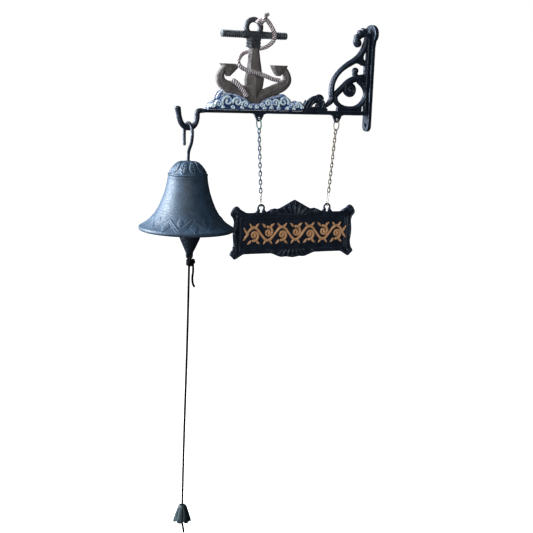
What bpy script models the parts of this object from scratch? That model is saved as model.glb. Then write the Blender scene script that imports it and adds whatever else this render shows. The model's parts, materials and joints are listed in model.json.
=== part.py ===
"""A cast-iron bell on a wall bracket, with an anchor on its arm and a sign hung below on two chains.

Run it with: blender --background --python part.py
Frame: origin at the centre of the wall plate's back face, +X into the wall, +Z up, metres.
The shapes are drawn in millimetres in the bracket's own plane, from the bell's axis (x) and its
rim (z). at() turns a drawn point into the frame, so BELL_REACH and RIM_DROP place everything.
"""

import math

import bmesh
import bpy
from mathutils import Matrix, Vector
from mathutils.geometry import tessellate_polygon

# Driving dimensions, in millimetres.
BELL_REACH = 253.0  # wall to the bell's axis
RIM_DROP = 195.0  # centre of the wall plate to the bell's rim
GAP = 0.3  # kept between pieces that touch

PLATE_HEIGHT = 138.5
PLATE_WIDTH = 16.0
PLATE_THICKNESS = 5.0
LOBE_HALF_WIDTH = 15.0
LOBE_HALF_HEIGHT = 12.0
SCREW_HOLE_RADIUS = 2.7
SCREW_HOLE_OFFSET = 8.0  # the two upper holes, either side of the brace
SCREW_HOLE_INSET = 8.0  # the lower hole, from the plate's end

ARM_UNDERSIDE = 146.8
ARM_TOP = 152.4  # at the wall plate
ARM_TOP_AT_TIP = 151.2
ARM_HALF_WIDTH = 3.5
ARM_START = 16.3
SCROLL_HALF_WIDTH = 3.0
WAVE_HALF_WIDTH = 8.0
ANCHOR_HALF_WIDTH = 4.5
ANCHOR_ROPE_RADIUS = 2.2
STOCK_RADIUS = 4.1

SADDLE_HEIGHT = 127.8  # centre of the saddle's bottom
SADDLE_RADIUS = 3.5
HOOK_ROD_RADIUS = 2.0
HOOK_BEND_RADIUS = 12.0  # centre line of the bend over the saddle
HOOK_SKEW = 0.07  # how far the bend is turned off the saddle's square, as a slope
EYE_RADIUS = 5.0  # centre line of the eye inside the bell
EYE_HEIGHT = 70.0

BELL_RADIUS = 59.6
CROWN_HEIGHT = 87.0
CROWN_UNDERSIDE = 83.5
LINK_RADIUS = 7.0
LINK_WIRE = 1.5
CLAPPER_TAIL_HEIGHT = -33.0  # centre of the hole that the cord is tied in
TAIL_RADIUS = 4.7

CORD_RADIUS = 1.35
LOOP_TOP = -33.3  # where the cord's loop lies in the clapper's tail
LOOP_BOTTOM = -46.2
CORD_CLEARANCE = 0.8  # under the loop, so that the cord can swing
KNOT_RADIUS = 3.0
WEIGHT_TOP = -366.0
WEIGHT_HEIGHT = 21.0
WEIGHT_RADIUS = 12.0
CORD_TIP = -405.0

SIGN_CENTRE = 149.5
SIGN_HEIGHT = -6.0  # middle of the sign's panel
SIGN_HALF_WIDTH = 2.2
LUG_SPACING = 111.5  # between the two holes in the arm
SIGN_HOLE_SPACING = 95.5  # between the two holes in the sign
LUG_PIVOT = 137.7  # middle of the iron under each of the arm's holes
LUG_HOLE_HEIGHT = 140.7
LUG_HOLE_RADIUS = 1.8
LUG_TIP_RADIUS = 4.2
LUG_HALF_WIDTH = 1.5
SIGN_PIVOT = 27.2  # where each lower ring carries the sign
SIGN_HOLE_HEIGHT = 25.9
SIGN_HOLE_RADIUS = 2.8
SIGN_LUG_RADIUS = 4.5
SIGN_LUG_HALF_WIDTH = 1.0
TOP_RING_RADIUS = 7.0
TOP_RING_WIRE = 0.8
TOP_RING_DROP = 4.1  # from the lug's pivot to the ring's centre
LOWER_RING_HEIGHT = 19.3
LOWER_RING_WIDTH = 10.0
LOWER_RING_WIRE = 0.5
CHAIN_LINKS = 15
CHAIN_WIRE = 0.65
CHAIN_WIDTH = 3.3  # between the middles of a link's two sides
CHAIN_GAP = 0.15


def at(x, z, y=0.0):
    """A drawn point in the object's frame."""
    return Vector((x - BELL_REACH, y, z - RIM_DROP)) / 1000


def clear_scene():
    for thing in list(bpy.data.objects):
        bpy.data.objects.remove(thing, do_unlink=True)


def look(name, colour, roughness, metallic):
    made = bpy.data.materials.new(name)
    made.use_nodes = True
    shader = made.node_tree.nodes["Principled BSDF"]
    shader.inputs["Base Color"].default_value = (*colour, 1.0)
    shader.inputs["Roughness"].default_value = roughness
    shader.inputs["Metallic"].default_value = metallic
    return made


def joint_empty(name, place, parent=None):
    """An empty on a joint's axis. The pieces that turn with the joint are its children."""
    empty = bpy.data.objects.new(name, None)
    bpy.context.collection.objects.link(empty)
    empty.empty_display_size = 0.01
    empty["place"] = place[:]
    empty.location = place
    if parent:
        empty.parent = parent
        empty.location = place - Vector(parent["place"])
    return empty


def home_of(body):
    return Vector(body["place"]) if body else Vector((0, 0, 0))


def add_object(name, data, colour, body):
    data.materials.append(colour)
    piece = bpy.data.objects.new(name, data)
    bpy.context.collection.objects.link(piece)
    piece.parent = body
    return piece


def add_mesh(name, bm, colour, body, smooth_angle=40):
    """A mesh object of world-space bmesh geometry, with its origin on its body's joint."""
    bmesh.ops.translate(bm, vec=-home_of(body), verts=bm.verts)
    bmesh.ops.recalc_face_normals(bm, faces=bm.faces)
    mesh = bpy.data.meshes.new(name)
    bm.to_mesh(mesh)
    bm.free()
    mesh.shade_smooth()
    mesh.set_sharp_from_angle(angle=math.radians(smooth_angle))
    return add_object(name, mesh, colour, body)


def boolean(piece, cutter, operation):
    cutter.hide_render = True
    cutter.display_type = "WIRE"
    modifier = piece.modifiers.new(operation.title(), "BOOLEAN")
    modifier.operation = operation
    modifier.object = cutter


def spline_point(p0, p1, p2, p3, t):
    """One point of a Catmull-Rom curve between p1 and p2."""
    return tuple(
        0.5
        * (2 * b + (c - a) * t + (2 * a - 5 * b + 4 * c - d) * t**2 + (3 * b - a - 3 * c + d) * t**3)
        for a, b, c, d in zip(p0, p1, p2, p3)
    )


def smooth_loop(points, steps):
    """A closed smooth curve through the points, with steps pieces between neighbours."""
    count = len(points)
    return [
        spline_point(*(points[(i + k) % count] for k in (-1, 0, 1, 2)), step / steps)
        for i in range(count)
        for step in range(steps)
    ]


def smooth_path(points, steps):
    """An open smooth curve through the points."""
    padded = [points[0], *points, points[-1]]
    made = [
        spline_point(*padded[i : i + 4], step / steps)
        for i in range(len(points) - 1)
        for step in range(steps)
    ]
    return [*made, tuple(points[-1])]


def arc(centre, radius, start, end, steps):
    """Points on a circle, angles in degrees."""
    angles = [math.radians(start + (end - start) * i / steps) for i in range(steps + 1)]
    return [(centre[0] + radius * math.cos(a), centre[1] + radius * math.sin(a)) for a in angles]


def circle(centre, radius, steps=12):
    return arc(centre, radius, 0, 360, steps)[:-1]


def prism(name, loops, low, high, colour, body=None):
    """A plate: an outline and its holes, between the two sides that low and high give."""
    bm = bmesh.new()
    flat = [point for loop in loops for point in loop]
    front = [bm.verts.new(low(*point)) for point in flat]
    back = [bm.verts.new(high(*point)) for point in flat]
    for triangle in tessellate_polygon([[Vector((*point, 0)) for point in loop] for loop in loops]):
        bm.faces.new([front[i] for i in triangle])
        bm.faces.new([back[i] for i in reversed(triangle)])
    start = 0
    for loop in loops:
        for i in range(len(loop)):
            a = start + i
            b = start + (i + 1) % len(loop)
            bm.faces.new((front[a], front[b], back[b], back[a]))
        start += len(loop)
    return add_mesh(name, bm, colour, body)


def slab(name, loops, half_width, colour, body=None):
    """A plate in the bracket's plane, centred on it."""
    return prism(
        name, loops, lambda x, z: at(x, z, -half_width), lambda x, z: at(x, z, half_width), colour, body
    )


def turned(name, profile, centre, colour, body=None, segments=32, flutes=0, flute_depth=0.0):
    """A closed profile of (radius, height) turned round the vertical line through centre."""
    bm = bmesh.new()
    rings = []
    for radius, height in profile:
        ring = []
        for i in range(segments):
            angle = math.tau * i / segments
            reach = radius * (1 + flute_depth * math.cos(flutes * angle))
            ring.append(
                bm.verts.new(at(centre + reach * math.cos(angle), height, reach * math.sin(angle)))
            )
        rings.append(ring)
    for ring, following in zip(rings, [*rings[1:], rings[0]]):
        for i in range(segments):
            j = (i + 1) % segments
            bm.faces.new((ring[i], ring[j], following[j], following[i]))
    bmesh.ops.remove_doubles(bm, verts=bm.verts, dist=1e-6)
    bmesh.ops.dissolve_degenerate(bm, dist=1e-7, edges=bm.edges)
    return add_mesh(name, bm, colour, body)


def tube(name, points, radius, colour, body=None, closed=False, bevel=2):
    """A round rod along world-space points in metres."""
    curve = bpy.data.curves.new(name, "CURVE")
    curve.dimensions = "3D"
    curve.bevel_depth = radius / 1000
    curve.bevel_resolution = bevel
    curve.use_fill_caps = not closed
    spline = curve.splines.new("POLY")
    spline.points.add(len(points) - 1)
    home = home_of(body)
    for target, point in zip(spline.points, points):
        target.co = (*(point - home), 1.0)
    spline.use_cyclic_u = closed
    return add_object(name, curve, colour, body)


def lug(centre, half_base, tip_radius, hole_height, base):
    """A hanging lug's outline from its right end to its left, below the line at height base."""
    right = [(half_base, base), (half_base - 4, base - 1.2), (tip_radius + 1.2, hole_height + 1.6)]
    tip = arc((0, hole_height), tip_radius, 0, -180, 6)
    left = [(-x, z) for x, z in reversed(right)]
    return [(centre + x, z) for x, z in [*right, *tip, *left]]


def wall_plate(colour):
    """A strap with a wide round lobe at its top: two screw holes there, and one at its foot."""
    half = PLATE_WIDTH / 2
    bottom = -PLATE_HEIGHT / 2
    lobe = PLATE_HEIGHT / 2 - LOBE_HALF_HEIGHT
    top = [(LOBE_HALF_WIDTH * y, lobe + LOBE_HALF_HEIGHT * z) for y, z in arc((0, 0), 1, -50, 230, 18)]
    outline = [
        (half, lobe - 16.0),
        (half + 1.2, lobe - 12.5),
        *top,
        (-half - 1.2, lobe - 12.5),
        (-half, lobe - 16.0),
        *arc((0, bottom + half), half, 180, 360, 10),
    ]
    holes = [
        circle((-SCREW_HOLE_OFFSET, lobe), SCREW_HOLE_RADIUS, 16),
        circle((SCREW_HOLE_OFFSET, lobe), SCREW_HOLE_RADIUS, 16),
        circle((0, bottom + SCREW_HOLE_INSET), SCREW_HOLE_RADIUS, 16),
    ]
    return prism(
        "wall_plate",
        [outline, *holes],
        lambda y, z: Vector((-PLATE_THICKNESS, y, z)) / 1000,
        lambda y, z: Vector((0, y, z)) / 1000,
        colour,
    )


def scroll_brace(colour):
    """The fretwork between the plate and the arm: a leaf curl, an arc, a diagonal and a loop."""
    face = BELL_REACH - PLATE_THICKNESS - GAP
    foot = ARM_TOP + GAP
    outline = [
        (241, 262.3), (236, 259), (232, 257.5), (229.7, 254.5), (230, 251.3), (226, 248),
        (223.8, 243), (225, 237.5), (230, 234.5), (234.8, 236.7), (236.2, 240), (235, 243.2),
        (236.8, 245), (239, 242.5), (239, 238), (236.5, 231.5), (231.3, 224.8), (222, 218.8),
        (211, 211.8), (202.3, 204.6), (196, 196), (192.3, 187), (192, 178), (193.6, 170),
        (191, 163.5), (186, 159.5),
    ]
    upper_gap = [
        (199, 177), (198.3, 184), (201, 193), (206.5, 201.3), (214, 207.7), (223, 212.3),
        (231.5, 213.5), (238.5, 210.5), (241.4, 205.5), (240.2, 201.7), (236.5, 200.5),
        (233.6, 202.7), (232.7, 206.5), (229.3, 208.8), (225.5, 207), (224.7, 202.7),
        (225, 198.6), (219, 195.2), (213, 189), (206, 181.7),
    ]
    lower_gap = [
        (204, 169), (206, 164), (212, 160.7), (222, 158.7), (233, 160.2), (240, 165.2),
        (243.3, 173), (242.8, 181), (239, 187.7), (233.5, 191), (229.3, 190), (230.4, 187),
        (232, 181), (230.3, 174.7), (225, 171), (219, 170.7), (214.7, 173.7), (210.7, 175.3),
        (206.5, 172.8),
    ]
    slit = [(241, 226), (243, 222.5), (242.6, 218.7), (240.3, 219.7), (239.8, 223)]
    heel_gap = [(194.5, 155.2), (198.3, 159.8), (203.8, 156), (199, 154.4)]
    toe_gap = [(240.3, 156.3), (242.5, 158.6), (244.8, 157.6), (243, 155.5)]
    inner_end = smooth_path(outline, 2)
    square_end = [(186, foot), (face, foot), (face, 262)]
    gaps = [smooth_loop(gap, 2) for gap in (upper_gap, lower_gap, slit, heel_gap, toe_gap)]
    return slab("scroll_brace", [[*inner_end, *square_end], *gaps], SCROLL_HALF_WIDTH, colour)


def support_arm(colour):
    """A tapering bar with the two thin lugs that the sign's rings hang in."""
    face = BELL_REACH - PLATE_THICKNESS - GAP
    top = [(ARM_START, ARM_TOP_AT_TIP), (face, ARM_TOP)]
    outline = [*top, (face, ARM_UNDERSIDE), (ARM_START, ARM_UNDERSIDE)]
    arm = slab("support_arm", [outline], ARM_HALF_WIDTH, colour)
    for side in (-1, 1):
        centre = SIGN_CENTRE + side * LUG_SPACING / 2
        edge = lug(centre, 10.5, LUG_TIP_RADIUS, LUG_HOLE_HEIGHT, ARM_UNDERSIDE)
        root = [(centre - 10.5, ARM_UNDERSIDE + 2), (centre + 10.5, ARM_UNDERSIDE + 2)]
        hole = circle((centre, LUG_HOLE_HEIGHT), LUG_HOLE_RADIUS, 12)
        plate = slab(f"join_lug_{side + 1}", [[*edge, *root], hole], LUG_HALF_WIDTH, colour)
        boolean(arm, plate, "UNION")
    return arm


def saddle_hook(colour):
    """The open U at the arm's end that the bell's hook hangs over."""
    route = [
        (16, 149), (12.6, 148.7), (10.2, 146), (10.2, 141), (9, 134.6), (5.2, 129.4),
        (0, SADDLE_HEIGHT), (-5.4, 128.8), (-10, 132.8), (-12.9, 139.3), (-14.4, 146), (-15.4, 151.5),
    ]
    points = [at(x, z) for x, z in smooth_path(route, 2)]
    return tube("saddle_hook", points, SADDLE_RADIUS, colour)


def wave_base(colour):
    crest = [
        (22, 155), (27, 158), (36, 163), (42, 169.5), (49, 171.3), (62, 169.3), (72, 164.7),
        (79, 160.2), (86, 158.8), (91, 160.7), (98, 165.3), (108, 168.9), (120, 171.3),
        (128, 170), (134, 164.5), (138, 161.5), (144, 163.8), (150, 162), (152, 156),
    ]
    outline = [*smooth_path(crest, 2), (152, 152.3), (22, 151.6)]
    return slab("wave_base", [outline], WAVE_HALF_WIDTH, colour)


def leaf_scroll(colour):
    """The leaf on the arm, ending in a round curl."""
    lobes = [(153, 157), (158, 160.5), (163, 165), (168, 168.5), (173, 171.5)]
    curl = arc((179, 166.3), 6.3, 100, -50, 7)
    outline = [(153, 152.6), *lobes, *curl, (184, 157), (184, 152.6)]
    return slab("leaf_scroll", [outline], 4.0, colour)


def anchor_body(colour):
    """The shank with its collars, the crown, and the two arms with their flukes."""
    shank = [(74, 239.5), (74, 228), (76.5, 226), (76, 200), (72.5, 190), (73, 182)]
    left_arm = [
        (66, 181), (60, 185), (52, 186), (46, 187.5), (45, 191.5), (50, 192), (55, 193.5),
        (61, 201), (66, 203.5), (62, 206), (37, 208), (42.5, 201), (38, 196), (34.5, 188),
        (36.5, 179), (42, 173.5), (52, 171.8), (62, 170), (72, 165.5), (79, 161),
    ]
    right_arm = [
        (86, 159.5), (91, 161.5), (98, 166), (108, 169.5), (120, 172), (129, 177), (135.5, 186),
        (135.5, 194), (131, 200), (129.5, 203.5), (131.5, 208), (106, 206), (109.5, 199),
        (115, 194), (121, 193.5), (124.5, 191), (122, 187.5), (116, 186), (110, 181.5),
        (103, 180.5), (97.5, 182), (98.5, 190), (95, 198), (90.5, 226), (91, 228), (91, 239.5),
    ]
    return slab("anchor_body", [[*shank, *left_arm, *right_arm]], ANCHOR_HALF_WIDTH, colour)


def anchor_stock(colour):
    """The round bar through the anchor's head."""
    points = [at(x, 244) for x in (38.5, 39.3, 126.7, 127.5)]
    bar = tube("anchor_stock", points, STOCK_RADIUS, colour)
    for end in (0, -1):
        bar.data.splines[0].points[end].radius = 0.85
    return bar


def anchor_ring(colour):
    points = [at(x, z) for x, z in arc((81.8, 252.9), 9.7, -19, 199, 20)]
    return tube("anchor_ring", points, 3.4, colour)


def anchor_rope(colour):
    """The cast rope: (x, z, y) from its knot on the ring, round the shank and over the crown."""
    front = -(ANCHOR_HALF_WIDTH + ANCHOR_ROPE_RADIUS + 0.5)
    behind = -front
    route = [
        (88, 261, front + 0.6), (94, 265, front + 0.6), (99, 261.5, front + 0.6),
        (103.5, 257, front), (107.5, 251, front), (110.5, 244.5, front), (109, 237, front + 2),
        (101, 230.5, -2), (94.5, 227.5, behind - 1), (84, 225, behind), (74, 221.5, behind - 1),
        (67.5, 217, 0), (63.2, 210.5, front + 1), (66.5, 204.2, front), (76, 200, front),
        (87, 197.5, front), (98, 194, front), (108, 190.5, front), (117, 189.3, front),
    ]
    tail = [(60, 184, front), (65, 179, front), (70, 173.5, front - 1.5), (73, 168.5, front - 2.5)]
    for name, line in (("anchor_rope", route), ("anchor_rope_tail", tail)):
        points = [at(*point) for point in smooth_path(line, 3)]
        tube(name, points, ANCHOR_ROPE_RADIUS, colour, bevel=1)


def bell_dome(colour, body):
    """The bell's shell: a crown, a moulded shoulder, a waist and a flared skirt."""
    outer = [
        (2.5, CROWN_HEIGHT), (8.4, 86.3), (13.6, 83.8), (18.4, 79.2), (22.4, 73.4),
        (24.7, 69.8), (25.2, 64), (26.5, 57), (28.2, 49.7), (30.6, 42), (33.8, 33.7),
        (38.2, 23.9), (43.4, 17), (48, 11.4), (53, 7.6),
        (58.8, 4), (BELL_RADIUS, 2), (59.2, 0.5),
    ]
    inner = [
        (57.6, 0), (50, 6), (44.8, 10.4), (39.6, 16), (35.6, 22), (31.8, 29.5),
        (28.2, 38), (25.4, 47), (23.3, 57), (21.8, 67), (18.6, 74.6), (14, 80), (8, CROWN_UNDERSIDE),
        (2.5, CROWN_UNDERSIDE),
    ]
    return turned("bell_dome", [*outer, *inner], 0, colour, body, segments=32)


def hanger_hook(colour, body):
    """A bent rod: a hook over the saddle, a shank through the crown, and an eye inside."""
    bend = SADDLE_HEIGHT + SADDLE_RADIUS + HOOK_ROD_RADIUS + 0.5 - HOOK_BEND_RADIUS
    side = HOOK_BEND_RADIUS
    free_end = [(side - 1.7, 105), (side - 0.3, 112), (side, 118)]
    over = arc((0, bend), side, 0, 180, 14)
    down = [(-side, 117), (-9.6, 109.5), (-4.6, 103.6), (-1, 99), (0, 94), (0, 86), (0, 77)]
    bent = [at(-HOOK_SKEW * (y + side), z, y) for y, z in [*free_end, *over]]
    shank = [at(0, z, y) for y, z in smooth_path(down, 2)]
    eye = [at(x, z) for x, z in arc((EYE_RADIUS, EYE_HEIGHT), EYE_RADIUS, 180, 435, 16)]
    return tube("hanger_hook", [*bent, *shank, *eye], HOOK_ROD_RADIUS, colour, body)


def crown_fixings(colour, body):
    """The washer and nut that hold the crown on the hanger's shank."""
    bore = HOOK_ROD_RADIUS + GAP
    top = CROWN_UNDERSIDE - GAP
    turned(
        "crown_washer",
        [(bore, top), (bore, top - 1.1), (6.5, top - 1.1), (6.5, top)],
        0, colour, body, segments=20,
    )
    top -= 1.1 + GAP
    bm = bmesh.new()
    sides = 12
    rings = []
    for height in (top, top - 3.2):
        for outer in (True, False):
            ring = []
            for k in range(sides):
                angle = math.tau * k / sides
                reach = (4.3 if k % 2 else 4.3 * math.cos(math.pi / 6)) if outer else bore
                ring.append(bm.verts.new(at(reach * math.cos(angle), height, reach * math.sin(angle))))
            rings.append(ring)
    order = [rings[0], rings[1], rings[3], rings[2]]
    for ring, following in zip(order, [*order[1:], order[0]]):
        for k in range(sides):
            m = (k + 1) % sides
            bm.faces.new((ring[k], ring[m], following[m], following[k]))
    add_mesh("crown_nut", bm, colour, body)


def clapper_link(colour, body):
    top = EYE_HEIGHT - EYE_RADIUS + HOOK_ROD_RADIUS + GAP + LINK_WIRE
    points = [at(EYE_RADIUS, z, y) for y, z in circle((0, top - LINK_RADIUS), LINK_RADIUS, 20)]
    return tube("clapper_link", points, LINK_WIRE, colour, body, closed=True)


def clapper(colour, body, link_bottom):
    """A cast clapper: a tang with a hole, a stem, a cone that strikes, and a flat tail."""
    stem = [
        (0, 48), (3.2, 47), (3.4, 20), (5, 12), (10, 7), (13.8, 1), (14.3, -5), (12.9, -11),
        (9.4, -19), (6.2, -26), (4.4, -29.5), (0, -30.5),
    ]
    piece = turned("clapper", stem, EYE_RADIUS, colour, body, segments=20)
    tang_hole = (EYE_RADIUS, link_bottom - 0.7)
    tail_hole = (EYE_RADIUS, CLAPPER_TAIL_HEIGHT)
    tang = [(EYE_RADIUS - 4.5, 45), (EYE_RADIUS + 4.5, 45), *arc(tang_hole, 4.5, 0, 180, 8)]
    tail = [(EYE_RADIUS + 4.7, -26.5), (EYE_RADIUS - 4.7, -26.5), *arc(tail_hole, TAIL_RADIUS, 180, 360, 8)]
    for name, outline, hole, size in (
        ("join_tang", tang, tang_hole, 2.5),
        ("join_tail", tail, tail_hole, 2.2),
    ):
        boolean(piece, slab(name, [outline], 1.5, colour, body), "UNION")
        bore = slab(f"cut_{name}", [circle(hole, size, 12)], 12.0, colour, body)
        boolean(piece, bore, "DIFFERENCE")
    return piece


def cord_loop(colour, body):
    """The cord's loop through the clapper's tail, and beside it the knot with its loose end."""
    side = [(2.3, LOOP_TOP - 0.2), (3.8, -35.4), (3.7, -39), (2.4, -43.4)]
    other = [(-y, z) for y, z in reversed(side)]
    ring = smooth_loop([(0, LOOP_TOP), *side, (0, LOOP_BOTTOM), *other], 2)
    points = [at(EYE_RADIUS, z, y) for y, z in ring]
    tube("cord_loop", points, CORD_RADIUS, colour, body, closed=True)
    knot_side = EYE_RADIUS + CORD_RADIUS + GAP + KNOT_RADIUS
    knot_height = -40.2
    knob("cord_knot", knot_side, knot_height, KNOT_RADIUS, colour, body)
    top = knot_height - KNOT_RADIUS - GAP
    route = [
        (knot_side + 0.3, top, -0.4),
        (knot_side + 0.6, top - 9, -0.9),
        (knot_side - 0.1, top - 18, -0.6),
        (knot_side + 0.8, top - 25, -0.2),
        (knot_side + 3.2, top - 30, 0),
    ]
    tube("short_end", [at(*point) for point in smooth_path(route, 3)], CORD_RADIUS, colour, body)


def knob(name, centre, height, radius, colour, body):
    """A small round knot."""
    tilts = [math.pi * i / 8 for i in range(1, 8)]
    side = [(radius * math.sin(a), height + radius * math.cos(a)) for a in tilts]
    profile = [(0.0, height + radius), *side, (0.0, height - radius)]
    return turned(name, profile, centre, colour, body, segments=14)


def pull_cord(colour, body, top, stop_knot):
    """The cord from its loop down to the stop knot, then its bare end."""
    start = top - CORD_CLEARANCE
    end = stop_knot + KNOT_RADIUS + GAP
    count = 46
    points = []
    for i in range(count + 1):
        share = i / count
        sway = 0.35 * math.sin(math.tau * share)
        points.append(at(EYE_RADIUS + sway, start + (end - start) * share))
    tube("pull_cord", points, CORD_RADIUS, colour, body)
    low = stop_knot - KNOT_RADIUS - GAP
    route = [
        (EYE_RADIUS, low),
        (EYE_RADIUS + 0.3, low - 4),
        (EYE_RADIUS + 1.4, low - 8.5),
        (EYE_RADIUS + 3, CORD_TIP),
    ]
    tube("cord_end", [at(x, z) for x, z in smooth_path(route, 2)], CORD_RADIUS, colour, body)


def pull_weight(colour, body):
    """A small fluted cup that the cord runs through, with a hollow for the stop knot."""
    bottom = WEIGHT_TOP - WEIGHT_HEIGHT
    bore = CORD_RADIUS + 0.7
    profile = [
        (bore, WEIGHT_TOP), (4.0, WEIGHT_TOP), (5.6, WEIGHT_TOP - 1.8), (7.4, WEIGHT_TOP - 6.5),
        (9.5, WEIGHT_TOP - 12.5), (WEIGHT_RADIUS - 0.6, bottom + 2.2), (WEIGHT_RADIUS - 0.6, bottom + 0.4),
        (9.2, bottom), (5.2, bottom + 1.5), (4.6, bottom + 6.5), (bore, bottom + 7.5),
    ]
    return turned("pull_weight", profile, EYE_RADIUS, colour, body, 30, 6, 0.045)


def hung_line(side):
    """The line that one side's rings and chain lie on: its top point, and its down direction."""
    top = Vector((SIGN_CENTRE + side * LUG_SPACING / 2, LUG_PIVOT))
    low = Vector((SIGN_CENTRE + side * SIGN_HOLE_SPACING / 2, SIGN_PIVOT))
    return top, low


def on_line(side, drop, across=0.0, depth=0.0, turn=0.0):
    """A point drop mm down one side's line, across and depth off it, turned about the line."""
    top, low = hung_line(side)
    down = (low - top).normalized()
    sideways = Vector((-down.y, down.x)) * -1
    angle = math.radians(turn)
    u = across * math.cos(angle) - depth * math.sin(angle)
    v = across * math.sin(angle) + depth * math.cos(angle)
    place = top + down * drop - sideways * u
    return at(place.x, place.y, v)


def oval(side, top, bottom, half_width, turn, steps):
    """A link's closed centre line: two half rounds joined by straight sides."""
    upper = arc((0, 0), half_width, 180, 0, steps)
    points = [(x, top + half_width - z) for x, z in upper]
    points += [(x, bottom - half_width + z) for x, z in reversed(upper)]
    return [on_line(side, drop, across, 0.0, turn) for across, drop in points]


def chain_side(side, word, turns, steel, ring_body, chain_body, lower_body):
    """One side of the sign's hanging: top ring, chain and lower ring."""
    top, low = hung_line(side)
    length = (low - top).length
    ring = [on_line(side, TOP_RING_DROP - z, 0, y) for y, z in circle((0, 0), TOP_RING_RADIUS, 20)]
    tube(f"{word}_top_ring", ring, TOP_RING_WIRE, steel, ring_body, closed=True, bevel=1)
    start = TOP_RING_DROP + TOP_RING_RADIUS - TOP_RING_WIRE - CHAIN_WIRE - CHAIN_GAP
    lower_top = length - LOWER_RING_HEIGHT
    end = lower_top + LOWER_RING_WIRE + CHAIN_WIRE + CHAIN_GAP
    lap = 2 * CHAIN_WIRE + CHAIN_GAP
    span = (end - start + (CHAIN_LINKS - 1) * lap) / CHAIN_LINKS
    for i in range(CHAIN_LINKS):
        place = start + i * (span - lap)
        turn = 90 * (i % 2) + turns * i / (CHAIN_LINKS - 1)
        points = oval(side, place, place + span, CHAIN_WIDTH / 2, turn, 4)
        name = f"{word}_link_{i + 1:02d}"
        tube(name, points, CHAIN_WIRE, steel, chain_body, closed=True, bevel=1)
    points = oval(side, lower_top, length, LOWER_RING_WIDTH / 2, 90 + turns, 6)
    tube(f"{word}_lower_ring", points, LOWER_RING_WIRE, steel, lower_body, closed=True, bevel=1)


def sign_outline():
    """The sign's edge, drawn on its right half from the peak to the foot and mirrored."""
    right = [
        (0, 42.5), (5.5, 39.7), (12.5, 36), (18.5, 32.8), (23.5, 30.6), (29, 31.4), (34.5, 29.4),
        (40, 27), (48, 26.2), (58, 26), (68, 26), (76, 29), (82, 35), (85.5, 33.4), (90, 27),
        (89.3, 23.8), (86.6, 20.5), (84.8, 14), (86, 4), (86, -4), (84.8, -14), (86.6, -23),
        (90, -28), (86.5, -31.2), (83.5, -34.3), (76.5, -30), (67.5, -26.6), (42.5, -26.2),
        (32.5, -27.2), (23.5, -30.6), (16.5, -33), (9.5, -32.4), (0, -34),
    ]
    left = [(-x, z) for x, z in reversed(right[1:-1])]
    return [(SIGN_CENTRE + x, SIGN_HEIGHT + z) for x, z in [*right, *left]]


def sign_board(colour, relief_colour, body):
    """The cast board with a sunk panel, and the raised ornament on the panel."""
    board = slab("sign_board", [sign_outline()], SIGN_HALF_WIDTH, colour, body)
    for side in (-1, 1):
        centre = SIGN_CENTRE + side * SIGN_HOLE_SPACING / 2
        tip = arc((centre, SIGN_HOLE_HEIGHT), SIGN_LUG_RADIUS, -20, 200, 12)
        root = [(centre - 5.4, SIGN_HEIGHT + 24), (centre + 5.4, SIGN_HEIGHT + 24)]
        hole = circle((centre, SIGN_HOLE_HEIGHT), SIGN_HOLE_RADIUS, 12)
        loops = [[*tip, *root], hole]
        plate = slab(f"join_sign_lug_{side + 1}", loops, SIGN_LUG_HALF_WIDTH, colour, body)
        boolean(board, plate, "UNION")
    panel = bmesh.new()
    bmesh.ops.create_cube(panel, size=1.0)
    size = Matrix.Diagonal((0.152, 0.004, 0.042, 1.0))
    floor = -SIGN_HALF_WIDTH + 1.0
    place = Matrix.Translation(at(SIGN_CENTRE + 1, SIGN_HEIGHT - 2, floor - 2.0))
    bmesh.ops.transform(panel, matrix=place @ size, verts=panel.verts)
    boolean(board, add_mesh("cut_panel", panel, colour, body), "DIFFERENCE")
    left, right, foot, head = SIGN_CENTRE - 67, SIGN_CENTRE + 72, -21.5, 6.5
    band = [(left, foot), (right, foot), (right, head), (left, head)]
    prism(
        "sign_ornament",
        [band],
        lambda x, z: at(x, z, -3.4),
        lambda x, z: at(x, z, floor - GAP),
        relief_colour,
        body,
    )


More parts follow.
